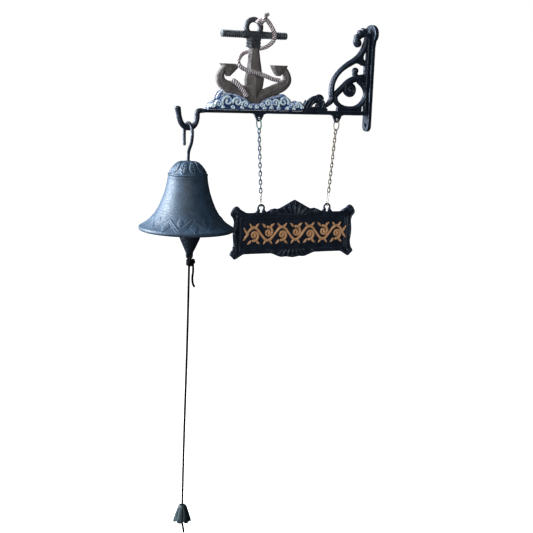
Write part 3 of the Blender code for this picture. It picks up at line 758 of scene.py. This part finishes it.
def make_scroll_brace(iron):
    shape = Shape()
    depth = 3.3
    arch = [
        (244.2, 247, 4.2), (242.2, 239.5, 4.2), (239.8, 233, 4.2), (236.4, 226.8, 4.3),
        (231.5, 221, 4.4), (225, 216.4, 4.2), (218, 212.4, 3.9), (212.5, 208.6, 3.5),
        (207.2, 204.3, 3.3), (201.6, 198, 3.3), (198.3, 192.5, 3.5), (196.2, 187, 3.6),
        (195.4, 181, 3.8), (195.8, 174, 4.0), (197.2, 168.5, 4.4),
    ]
    diagonal = [
        (184.8, 156.6, 1.9), (190.2, 160.0, 2.9), (194.4, 164, 3.9), (197.6, 168.6, 4.5),
        (202.4, 174, 4.3), (207.4, 178.8, 4.2), (212.5, 183.6, 4.3), (218, 188.6, 4.4),
        (224.8, 192.6, 4.4), (232, 194.6, 4.6), (240, 195.2, 5.2), (246, 195.4, 5.6),
    ]
    loop = [
        (200.8, 170.5, 3.5), (202.2, 164.8, 3.3), (206.4, 160.2, 3.1), (213, 157.0, 3.0),
        (222, 155.6, 3.0), (232, 156.8, 3.1), (240.3, 162.2, 3.3), (245.2, 170, 3.3),
        (246.1, 176, 3.3), (244.1, 182.6, 3.7), (240.4, 188, 4.3), (235.5, 191.8, 4.4),
    ]
    leaf = [
        (244.2, 250.5, 3.6), (239.4, 252.6, 4.8), (234.4, 250.8, 4.8), (229.6, 246.6, 4.2),
        (226.8, 241.4, 3.2), (229.2, 237.4, 3.0), (232.8, 238.2, 2.6), (233.0, 241.2, 2.2),
    ]
    for line in (arch, diagonal, loop, leaf):
        shape.stroke(line, depth, square=0.8)
    # Where the bars run together the casting is solid.
    webs = (
        [(222, 214), (229, 214), (234, 213.6), (238.6, 211), (245, 214), (242, 218.4),
         (239.8, 219.2), (239.2, 223), (240.6, 227), (236, 228), (229, 220)],
        [(203.6, ARM_SEAT), (204.6, 157), (208, 160), (216, 157.4), (230, 157), (239, 162),
         (240.6, 158.6), (240.2, ARM_SEAT)],
        [(244.5, ARM_SEAT), (244.6, 157.6), (242.4, 160), (247, 166), (247, ARM_SEAT)],
    )
    for web in webs:
        shape.plate([web], -2.7, 2.7)
    shape.stroke([(245.9, 152.5, 2.0), (245.9, 246.0, 2.0)], 3.9, steps=2, square=0.7)
    shape.stroke([(243.4, 216, 3.2), (244.2, 208, 3.2), (244.4, 199, 3.4)], depth)
    # Ridges along each bar's upper edge catch the light, as on the real casting.
    for line in (arch[1:], diagonal[1:-1], loop[:-1], leaf[:-2]):
        shape.stroke([(x - 0.2 * w, z + 0.2 * w, w * 0.42) for x, z, w in line], depth + 0.9)
    shape.blob(230.2, 240.6, 5.3, 5.4, 5.0)
    for x, z, r in (
        (237.2, 257.0, 2.9), (232.2, 254.0, 3.0), (227.6, 248.2, 3.0), (241.8, 257.0, 2.6)
    ):
        shape.blob(x, z, r, r, 4.4)
    shape.stroke([(231.5, 196, 3.6), (228.6, 200, 3.9), (228.8, 204, 3.9)], depth)
    shape.blob(228.8, 204.4, 4.5, 4.5, 4.8)
    shape.blob(222.4, 179.6, 9.4, 9.6, 2.6)
    shape.spiral(222.4, 179.6, 8.4, 140, 1.2, 2.9, 4.2, end=0.3)
    shape.blob(222.0, 179.0, 3.4, 3.4, 5.2)
    cast("scroll_casting", shape, "bracket", iron, ["scroll_brace"], voxel=0.42)


def make_saddle(iron):
    """The open U at the arm's tip."""
    shape = Shape()
    route = [
        (20, 149.0, 0), (12.6, 148.7, 0), (10.2, 146, 0), (10.2, 141, 0), (9, 134.6, 0),
        (5.2, 129.4, 0), (0, SADDLE_HEIGHT, 0), (-5.4, 128.8, 0), (-10, 132.8, 0),
        (-12.9, 139.3, 0), (-14.4, 146, 0), (-15.4, 151.5, 0),
    ]
    shape.rod(route, (2.6, 3.3, 3.4, 3.3, 3.4, 3.6, 3.6, 3.6, 3.5, 3.4, 3.5, 3.9))
    shape.blob(-15.6, 152.0, 4.0, 2.4, 4.0)
    cast("saddle_casting", shape, "bracket", iron, ["saddle_hook"], voxel=0.4, smooth=2)


def make_leaf(iron):
    """The curled leaf on the arm, with ridges on both faces."""
    shape = Shape()
    for line in (
        [(152, 154.0, 2.4), (159, 157.6, 3.4), (166, 161.6, 3.8), (173, 165.6, 3.8)],
        [(154, 156.6, 1.6), (159.5, 160.6, 2.2), (164.5, 164.4, 2.2)],
        [(160, 161.5, 1.8), (166, 166.0, 2.4), (171, 169.0, 2.2)],
        [(153, 152.6, 2.4), (170, 153.6, 3.4), (188, 153.4, 2.8)],
        [(181.5, 154, 2.6), (183.6, 158.5, 2.6), (184.4, 163.0, 2.0)],
    ):
        shape.stroke(line, 3.4)
    shape.blob(178.4, 166.2, 6.4, 6.4, 2.6)
    shape.spiral(178.4, 166.2, 6.0, 175, -1.2, 2.1, 3.7, end=0.3, ball=2.1)
    shape.blob(178, 157.5, 6.0, 4.4, 3.0)
    for side in (-1, 1):
        for x in (156.5, 161.5, 166.5):
            ridge = [(x - 2, 155.5, 0.8), (x + 1, 160.5, 1.1), (x + 3.5, 165.0, 0.7)]
            shape.stroke(ridge, 0.9, side * 3.2)
    cast("leaf_casting", shape, "bracket", iron, ["leaf_scroll"], voxel=0.4, smooth=2)


def make_waves(blue):
    """The waves on the arm: a solid crest line, with curls on both faces and foam on top."""
    shape = Shape()
    crest = [
        (22, 154.4), (27, 156.8), (35, 161), (42, 167.6), (49, 169.6), (62, 167.2), (72, 162.7),
        (79, 158.4), (86, 157.2), (91, 158.6), (98, 163.2), (108, 167.0), (120, 169.6),
        (128, 168), (134, 162.5), (138, 159.6), (144, 161.8), (149.5, 160), (152, 155),
    ]
    outline = [*smooth_path(crest, 3), (crest[-1][0], ARM_SEAT), (crest[0][0], ARM_SEAT)]
    shape.plate([outline], -5.6, 5.6)
    rnd = random.Random(7)
    # Each curl's centre, radius and turning sense.
    curls = [
        (28.0, 155.2, 3.0, 1), (35.5, 158.0, 4.8, 1), (47.5, 161.6, 7.4, 1), (61, 160.8, 6.4, 1),
        (71.5, 158.2, 4.6, 1), (94, 157.2, 3.8, -1), (103, 160.2, 5.2, -1), (113, 160.8, 5.6, -1),
        (124.5, 162.2, 7.0, -1), (135.0, 157.4, 4.0, -1), (144.5, 158.0, 4.6, -1),
        (41, 154.0, 2.4, -1), (54.2, 154.2, 2.8, -1), (66.5, 153.8, 2.4, -1), (78.5, 155.4, 3.0, 1),
        (86.5, 154.8, 2.8, -1), (98.5, 153.9, 2.4, 1), (108, 154.1, 2.6, 1), (118, 154.0, 2.6, 1),
        (130, 153.9, 2.6, 1), (139.6, 153.8, 2.2, 1), (150, 155.4, 2.6, -1),
    ]
    for x, z, r, way in curls:
        for side in (-1, 1):
            start = (200 if way > 0 else -20) + rnd.uniform(-20, 20)
            shape.spiral(
                x, z, r, start, -way * 1.2, width=0.26 * r + 0.3, depth=2.2, y=side * 6.2,
                end=0.2, ball=0.24 * r + 0.2,
            )
    # Foam along the crest, standing up in short tongues.
    for side in (-1.0, 0.0, 1.0):
        foam = [
            (x, z + 0.4 + rnd.uniform(-0.8, 0.8), 1.2 + 0.6 * rnd.random())
            for x, z in smooth_path(crest, 2)[1:-1]
        ]
        shape.stroke(foam, 1.7, side * 5.0, steps=2)
    # A tall tongue of foam on the left crest, on each face.
    for side in (-4.6, 4.6):
        shape.stroke([(34.5, 165.5, 2.2), (37.8, 170.6, 2.6), (41.0, 174.0, 1.8)], 2.0, side)
    cast("wave_casting", shape, "bracket", blue, ["wave_base"], voxel=0.36, smooth=2, rough=0.2)


def make_anchor(brown):
    """The anchor's shank, arms and flukes."""
    shape = Shape()
    shape.loft([
        (240, 73.5, 91.5, 4.6, 0.3), (229, 73.8, 91.3, 4.6, 0.3), (227, 76.4, 90.6, 4.0, 0.3),
        (214, 75.4, 92.8, 4.0, 0.4), (198, 74.0, 95.8, 4.4, 0.5),
    ])
    shape.loft([
        (198.4, 73.0, 96.6, 3.0, 1.6), (190, 71.4, 99.0, 2.6, 3.6), (181, 72, 98.0, 2.6, 4.2),
        (170, 77, 95, 2.8, 3.4), (160, 83.4, 90, 2.8, 1.4), (157.5, 85, 88, 2.4, 0.4),
    ])
    right = [
        (84, 164, 5.0), (95, 169, 6.8), (106, 174.2, 6.6), (116, 178, 7.2), (124.4, 181.8, 7.0),
        (130.2, 187.6, 6.2), (130.2, 194.2, 5.4), (128.4, 200, 4.0), (126.6, 203.6, 2.8),
    ]
    left = [
        (90, 162, 4.8), (78, 168, 6.8), (67, 174.4, 8.0), (57, 178.0, 8.0), (47.8, 179.8, 7.6),
        (41.0, 184.8, 6.6), (38.8, 191.4, 5.8), (40.8, 198, 4.4), (43.2, 202.8, 3.0),
    ]
    for line in (left, right):
        shape.stroke(line, 4.6, square=0.9)
        shape.stroke([(x, z, w * 0.3) for x, z, w in line[1:-1]], 5.5)
    shape.loft([
        (207.6, 106.0, 131.4, 5.4, 0.4), (205.4, 106.8, 130.4, 5.3, 0.5),
        (199, 110.2, 127.2, 3.9, 0.8), (194.2, 114.6, 121.6, 2.6, 0.6),
    ])
    shape.loft([
        (207.6, 37.0, 62.6, 5.4, 0.4), (205.4, 39.0, 64.6, 5.3, 0.5), (202, 41.4, 62.4, 4.4, 0.8),
        (197, 43.6, 57.6, 3.6, 0.8), (192.0, 46.4, 52.4, 2.6, 0.6),
    ])
    cast("anchor_casting", shape, "bracket", brown, ["anchor_body"], voxel=0.42, rough=0.22)


def make_stock(steel):
    """The anchor's cross bar: ribbed towards its ends and plain in its middle."""
    start, end, height = 38.3, 127.7, 244
    steps = 360
    angles = [math.tau * k / 20 for k in range(20)]
    rings = []
    for i in range(steps + 1):
        x = start + (end - start) * i / steps
        ribbed = clamp(abs(x - 82.5) / 4 - 3.2)
        radius = 4.2 + 0.6 * ribbed * math.cos(math.tau * x / 2.65) + 0.6 * (1 - ribbed)
        edge = clamp(min(x - start, end - x) / 1.6)
        radius *= 0.72 + 0.28 * math.sqrt(edge)
        rings.append(
            [(x, radius * math.sin(a) * 0.95, height + radius * math.cos(a)) for a in angles]
        )
    bar = Shape()
    bar.skin(rings)
    cast("stock_casting", bar, "bracket", steel, ["anchor_stock"], voxel=0.33, smooth=1)


def make_ring(steel):
    """The anchor's ring, and the banded collar below the stock."""
    ring = Shape()
    ring.loft([(241, 73.2, 91.8, 4.8, 0.4), (228.4, 73.4, 91.4, 4.8, 0.4)])
    for z in (238.0, 234.0, 230.0):
        ring.loft([
            (z + 1.6, 73.0, 92.0, 5.0, 0.3), (z + 0.9, 72.2, 92.8, 5.7, 0.3),
            (z - 0.9, 72.2, 92.8, 5.7, 0.3), (z - 1.6, 73.0, 92.0, 5.0, 0.3),
        ])
    turn = [(x, z, 0) for x, z in arc((81.8, 252.9), 9.6, -62, 242, 40)]
    ring.rod(turn, (3.4, 3.5, 3.4, 3.4, 3.5, 3.4), steps=1)
    cast("ring_casting", ring, "bracket", steel, ["anchor_ring"], voxel=0.4, smooth=2)


def make_rope(finish):
    """The cast rope, from its knot on the ring, round the shank and over the crown."""
    front = -7.2
    behind = 6.2
    route = [
        (83, 258.0, -6.0), (87, 261.2, -6.8), (92.5, 264.6, -6.8), (97.5, 261.4, -6.8),
        (101.5, 256.6, front), (105.0, 251, -7.8), (107.6, 244.5, -7.8), (106.4, 237, -5.6),
        (100, 230.5, -2), (93.5, 227.5, behind), (84, 225, behind + 1), (73, 221.5, behind),
        (65.0, 217, 0), (60.0, 210.2, -6.0), (63.6, 203.8, -7.6), (74, 199.6, -7.6),
        (86, 197.2, -7.6), (98, 193.6, front), (108, 190.3, front), (117.5, 189.0, -6.6),
    ]
    tail = [
        (53, 187.5, -6.0), (56.5, 185.5, -8.0), (61.5, 181, -8.6), (67, 175, -9.4), (71, 168, -10.2)
    ]
    stub = [(85, 259.4, -4.6), (90, 263.8, -4.0), (95.5, 267.4, -3.4), (99.6, 270.6, -3.0)]
    turn = [(90.0, 258, -3), (91.6, 263.4, -9.4), (94.2, 268.4, -4.6), (95.2, 266.8, 1.6)]
    for name, line, radius, nodes in (
        ("rope_casting", route, 2.85, ["anchor_rope"]),
        ("rope_tail_casting", tail, 3.3, ["anchor_rope_tail"]),
        ("rope_stub_casting", stub, 2.85, []),
        ("rope_turn_casting", turn, 2.85, []),
    ):
        path = [(x, y, z) for x, z, y in smooth_path(line, 14)]
        twisted(name, path, radius, 8.4, "bracket", finish, nodes, groove=0.3)


# ---- the sign


def make_sign(iron, centre):
    """The sign's board: its outline, stepped frame, two eyes, and leaves on both faces."""
    middle = -6.0
    eye_spread = 47.75
    shape = Shape()
    half = [
        (0, 42.5), (5.5, 39.7), (12.5, 36), (18.5, 32.8), (23.5, 30.6), (29, 31.4), (34.5, 29.4),
        (40, 27), (48, 26.2), (58, 26), (68, 26), (76, 29), (82, 35), (85.5, 33.4), (90, 27),
        (89.3, 23.8), (86.6, 20.5), (84.8, 14), (86, 4), (86, -4), (84.8, -14), (86.6, -23),
        (90, -28), (86.5, -31.2), (83.5, -34.3), (76.5, -30), (67.5, -26.6), (42.5, -26.2),
        (32.5, -27.2), (23.5, -30.6), (16.5, -33), (9.5, -32.4), (0, -34),
    ]
    outline = [*half, *[(-x, z) for x, z in reversed(half[1:-1])]]
    placed = [(centre + x, middle + z) for x, z in outline]
    shape.plate([placed], -1.1, 1.1)
    for side in (-1, 1):
        x = centre + side * eye_spread
        ring = [(*point, 1.35) for point in arc((x, 25.9), 4.3, -60, 240, 24)]
        shape.stroke(ring, 1.2, steps=1)
        for foot in (-1, 1):
            shape.stroke([(x + foot * 3.4, 23.6, 1.9), (x + foot * 6.0, 19.5, 2.2)], 1.6, steps=2)
    # The edge stands up all round, and the frame inside it is stepped.
    rim = [(centre + x * 0.985, middle + z * 0.965 - 0.2, 1.25) for x, z in outline]
    shape.stroke([*rim, rim[0]], 2.3, steps=2, sides=10)
    for half_width, low, high, width, depth in (
        (80.5, -25.6, 21.6, 2.3, 2.2), (76.2, -22.4, 19.2, 0.9, 2.6),
    ):
        corners = [(-half_width, low), (half_width, low), (half_width, high), (-half_width, high)]
        for a, b in zip(corners, [*corners[1:], corners[0]]):
            bar = [(centre + x, middle + z, width) for x, z in (a, b)]
            shape.stroke(bar, depth, steps=2, square=0.75)
    for face in (-1, 1):
        y = face * 1.5
        add_crest(shape, centre, y)
        for side in (-1, 1):
            for up, z in ((1, 22.5), (-1, -34.0)):
                x = centre + side * 83.2
                way = side * up
                shape.spiral(x, z, 3.6, 90 - 60 * way, way * 1.1, 1.1, 1.9, y, ball=1.2)
                leaf = [
                    (x - side * 12, z - up * 1.5, 0.7), (x - side * 6, z + up * 1.2, 1.2),
                    (x - side, z + up * 4, 0.8),
                ]
                shape.stroke(leaf, 1.7, y)
            bud = [(82.6, -14, 0.8), (83.4, -6, 1.6), (82.6, 2, 0.8)]
            shape.stroke([(centre + side * out, z, w) for out, z, w in bud], 2.0, y)
    cast("sign_casting", shape, "sign", iron, ["sign_board"], voxel=0.42, smooth=2, rough=0.14)


def add_crest(shape, centre, y):
    """Leaves round the peak of the sign and round its foot, on one face."""
    for reach, z in ((0, 33.4), (8, 29.8), (16.5, 26.0), (25.5, 22.2)):
        for side in (-1, 1):
            tip = centre + side * reach
            root = centre + side * reach * 0.55
            leaf = [(root, 16.5, 0.8), ((root + tip) / 2, (16.5 + z) / 2, 2.5), (tip, z, 0.6)]
            shape.stroke(leaf, 1.8, y)
            shape.stroke([(root, 17, 0.5), (tip, z - 1, 0.5)], 2.5, y, steps=3)
    for side in (-1, 1):
        begin = 90 + 90 * side
        shape.spiral(centre + side * 32, 20.6, 3.6, begin, -side * 1.2, 1.1, 1.8, y, ball=1.3)
        shape.spiral(centre + side * 20.5, 19.2, 2.8, begin, side * 1.1, 0.9, 1.8, y, ball=1.1)
    for reach, z in ((0, -38.6), (7.5, -37.4), (15, -36.4), (22, -34.6)):
        for side in (-1, 1):
            tip = centre + side * reach
            root = centre + side * reach * 0.7
            leaf = [(root, -30.0, 1.2), ((root + tip) / 2, -33.4, 2.0), (tip, z, 0.6)]
            shape.stroke(leaf, 1.8, y)
    for side in (-1, 1):
        begin = 90 - 90 * side
        shape.spiral(centre + side * 29, -31.6, 2.6, begin, side * 1.1, 0.9, 1.6, y, ball=1.0)


def make_ornament(copper, centre):
    """A running vine on the panel: a waving stem, with a curl and leaves in each of its bends."""
    shape = Shape()
    middle = -7.4
    face = -2.1
    pitch = 20.0
    bends = 7
    half = pitch * bends / 2
    start = centre - half
    stem = []
    for i in range(bends * 10 + 1):
        t = i / 10
        lift = math.sin(math.pi * t)
        stem.append((start + pitch * t, middle + 8.6 * lift, 1.5 + 0.5 * lift**2))
    shape.stroke(stem, 1.5, face, steps=1, square=0.8)
    for i in range(bends):
        up = 1 if i % 2 == 0 else -1
        x = start + pitch * (i + 0.5)
        z = middle - up * 2.0
        shape.spiral(x + 0.6, z, 7.0, -100 * up, up * 1.35, 1.9, 1.6, face, 0.18, 2.2)
        for lean in (-7.6, 7.6):
            root = (x + lean * 0.55, middle - up * 8.4)
            tip = (x + lean * 1.12, middle - up * 13.2)
            between = ((root[0] + tip[0]) / 2 - lean * 0.1, (root[1] + tip[1]) / 2)
            shape.stroke([(*root, 0.8), (*between, 1.9), (*tip, 0.4)], 1.5, face)
        for lean in (-5.4, 5.4):
            leaf = [(0.3, 8.0, 0.8), (0.85, 11.2, 1.5), (1.15, 13.6, 0.4)]
            shape.stroke([(x + lean * out, middle + up * z, w) for out, z, w in leaf], 1.4, face)
    for side in (-1, 1):
        x = centre + side * (half + 1.2)
        for up in (1, -1):
            leaf = [(-3, 0, 1.3), (0, 3.4, 1.7), (3.0, 8.0, 0.5)]
            shape.stroke([(x + side * out, middle + up * z, w) for out, z, w in leaf], 1.4, face)
    cast("vine_casting", shape, "sign", copper, ["sign_ornament"], voxel=0.34, smooth=2, rough=0.1)


# ---- clapper, cord and weight


def make_knot(name, x, z, size, body, finish, nodes):
    """An overhand knot pulled tight, drawn as a small trefoil."""
    steps = 96
    path = []
    for i in range(steps):
        t = math.tau * i / steps
        path.append((
            x + size * 0.29 * (math.sin(t) + 2 * math.sin(2 * t)),
            size * 0.29 * (math.cos(t) - 2 * math.cos(2 * t)),
            z - size * 0.62 * math.sin(3 * t),
        ))
    return twisted(name, path, size * 0.4, 3.6, body, finish, nodes, loop=True)


def make_cord(black):
    """The cord: its loop and hitch on the clapper, its hanging length, and its knots."""
    pivot = drawn(JOINTS["pull_cord_swing"])
    x0 = pivot.x
    radius = 1.46
    pitch = 4.6
    knot_radius = 3.0
    gap = 0.3
    stop = -384.5
    bottom = -46.2
    half = [(0, -33.3), (2.3, -33.5), (3.8, -35.4), (3.7, -39), (2.4, -43.4), (0, bottom)]
    corners = [*half, *[(-y, z) for y, z in reversed(half[1:-1])]]
    count = len(corners)
    steps = 12
    ring = [
        (x0, *spline_point(*(corners[(i + k) % count] for k in (-1, 0, 1, 2)), step / steps))
        for i in range(count)
        for step in range(steps)
    ]
    on_loop = ("cord_loop", black)
    loop = twisted("cord_loop_laid", ring, radius, pitch, *on_loop, ["cord_loop"], loop=True)
    # The cord goes through the clapper's eye twice.
    second = [(x, 1.08 * y, bottom + 1.6 + 1.08 * (z - bottom)) for x, y, z in ring]
    twin = twisted("cord_twin_laid", second, 1.2, pitch, *on_loop, loop=True)
    # The hitch: three turns round the loop's strands.
    turns = []
    for i in range(91):
        t = i / 90
        a = math.tau * 3 * t
        turns.append((x0 + 2.4 * math.cos(a), (4.3 - t) * math.sin(a), -38.6 - 6.6 * t))
    hitch = twisted("cord_hitch_laid", turns, radius, pitch, *on_loop)
    side = x0 + radius + gap + knot_radius
    middle = -40.2
    knot = make_knot("cord_knot_tied", side, middle, 3.2, *on_loop, ["cord_knot"])
    high = middle - knot_radius - gap
    short = [
        (side, 0.0, high + 3), (side + 0.3, -0.4, high), (side + 0.6, -0.9, high - 9),
        (side - 0.1, -0.6, high - 18), (side + 0.8, -0.2, high - 25), (side + 3.2, 0.0, high - 30),
    ]
    short = smooth_path(short, 12)
    loose = twisted("short_end_laid", short, radius, pitch, *on_loop, ["short_end"])
    top = pivot.z + 1.0
    end = stop + knot_radius + gap
    route = []
    for i in range(24):
        share = i / 23
        sway = 0.35 * math.sin(math.tau * share)
        route.append((x0 + sway, 0.0, top + (end - top) * share))
    low = stop - knot_radius - gap
    for x, z in ((0, low), (0.3, low - 4), (1.4, low - 8.5), (3, -405.0)):
        route.append((x0 + x, 0.0, z))
    path = smooth_path(route, 14)
    replaced = ["pull_cord", "cord_end"]
    cord = twisted("pull_cord_laid", path, radius, pitch, "pull_cord", black, replaced)
    stopper = make_knot("stop_knot_tied", x0, stop, 2.8, "pull_cord", black, ["stop_knot"])
    return cord, path, [loop, twin, hitch, knot, loose, stopper]


def make_weight(finish):
    """The fluted cup on the cord, with a scalloped foot."""
    x0 = drawn(JOINTS["pull_cord_swing"]).x
    profile = [
        (2.0, -366.0), (3.6, -365.8), (5.0, -366.6), (6.0, -368.8), (7.3, -373), (8.7, -377.5),
        (10.2, -382), (11.3, -385.4), (11.5, -386.6), (10.8, -387.0), (9.0, -386.2),
        (7.2, -381), (5.4, -376.5), (4.8, -374), (2.0, -373.5),
    ]
    segments = 168
    flutes = 7
    rings = []
    for radius, height in smooth_path(profile, 7):
        ring = []
        open_end = clamp((-366.5 - height) / 6)
        for k in range(segments):
            a = math.tau * k / segments
            flute = abs(math.sin(flutes / 2 * a)) ** 0.7 - 0.55
            reach = radius * (1 + 0.13 * flute * open_end)
            foot = 2.4 * flute * clamp((-379 - height) / 7)
            ring.append((x0 + reach * math.cos(a), reach * math.sin(a), height - foot))
        rings.append(ring)
    return add_shell("weight_casting", rings, "pull_cord", finish, ["pull_weight"])


# ---- the whole object


def light_object():
    centre = make_floor()
    area_light("key_left", (-0.89, 0.46, 0.42), 1.3, (0.6, 1.2), 88, (0.90, 0.96, 1.0), centre)
    area_light("fill_front", (-0.65, -0.9, 0.45), 1.6, (1.2, 1.2), 14, (1.0, 0.99, 0.97), centre)
    bpy.context.scene.view_settings.view_transform = "Standard"


def build():
    make_camera()
    make_world()
    light_object()

    # The third colour of each cast paint lies on the outer edges, as rubbed wear and a painted
    # highlight.
    iron = cast_paint(
        "black_iron", (0.006, 0.009, 0.018), (0.017, 0.028, 0.050), (0.22, 0.32, 0.46), 0.38, 0.3
    )
    brown = cast_paint(
        "anchor_brown", (0.070, 0.061, 0.060), (0.165, 0.148, 0.147), (0.34, 0.36, 0.40),
        0.6, 0.0, 0.12,
    )
    steel = cast_paint(
        "anchor_steel", (0.022, 0.026, 0.032), (0.075, 0.085, 0.10), (0.36, 0.44, 0.52), 0.45, 0.3
    )
    bell_blue = cast_paint(
        "bell_iron", (0.010, 0.026, 0.050), (0.030, 0.062, 0.108), (0.14, 0.24, 0.36),
        0.55, 0.05, 0.09, (0.515, 0.56),
    )
    cup = cast_paint(
        "cup_iron", (0.005, 0.012, 0.017), (0.018, 0.036, 0.046), (0.26, 0.40, 0.46), 0.42, 0.3,
        slot="black_iron",
    )
    bright = wire_metal("bright_steel", (0.02, 0.02, 0.025), (0.55, 0.51, 0.43), 0.3, 0.7)
    tan = wire_metal(
        "tan_chain", (0.010, 0.010, 0.012), (0.24, 0.205, 0.15), 0.4, 0.4, "bright_steel"
    )
    aged = wire_metal("aged_ring", (0.006, 0.024, 0.020), (0.03, 0.13, 0.10), 0.5, 0.3)
    dark = wire_metal(
        "dark_steel", (0.006, 0.009, 0.02), (0.16, 0.20, 0.27), 0.35, 0.6, "bright_steel"
    )

    make_scroll_brace(iron)
    cast("plate_casting", NODES["wall_plate"], "bracket", iron, ["wall_plate"], voxel=0.45)
    arm = NODES["support_arm"]
    cast("arm_casting", arm, "bracket", iron, ["support_arm"], voxel=0.42, smooth=2)
    make_saddle(iron)
    make_leaf(iron)
    make_waves(wave_paint())
    make_anchor(brown)
    make_stock(steel)
    make_ring(steel)
    make_rope(rope_paint())

    make_bell(bell_blue)
    rewire("hanger_hook", "bell", iron, 0.2)
    for node in ("crown_washer", "crown_nut"):
        NODES[node].data.materials.clear()
        NODES[node].data.materials.append(bright.material)

    rewire("clapper_link", "clapper_link", bright, 0.15)
    cast("clapper_casting", NODES["clapper"], "clapper", iron, ["clapper"], voxel=0.42)
    cord, path, on_cord = make_cord(cord_paint())
    on_cord.append(make_weight(cup))

    centre = drawn(JOINTS["sign_tilt"]).x
    make_sign(iron, centre)
    make_ornament(copper_paint(), centre + 2.5)
    for word, top, links in (("left", aged, dark), ("right", tan, tan)):
        rewire(f"{word}_top_ring", "top_rings", top, 0.12)
        rewire(f"{word}_lower_ring", "lower_rings", bright, 0.06)
        for i in range(1, 16):
            rewire(f"{word}_link_{i:02d}", f"{word}_chain", links, 0.2)


build()
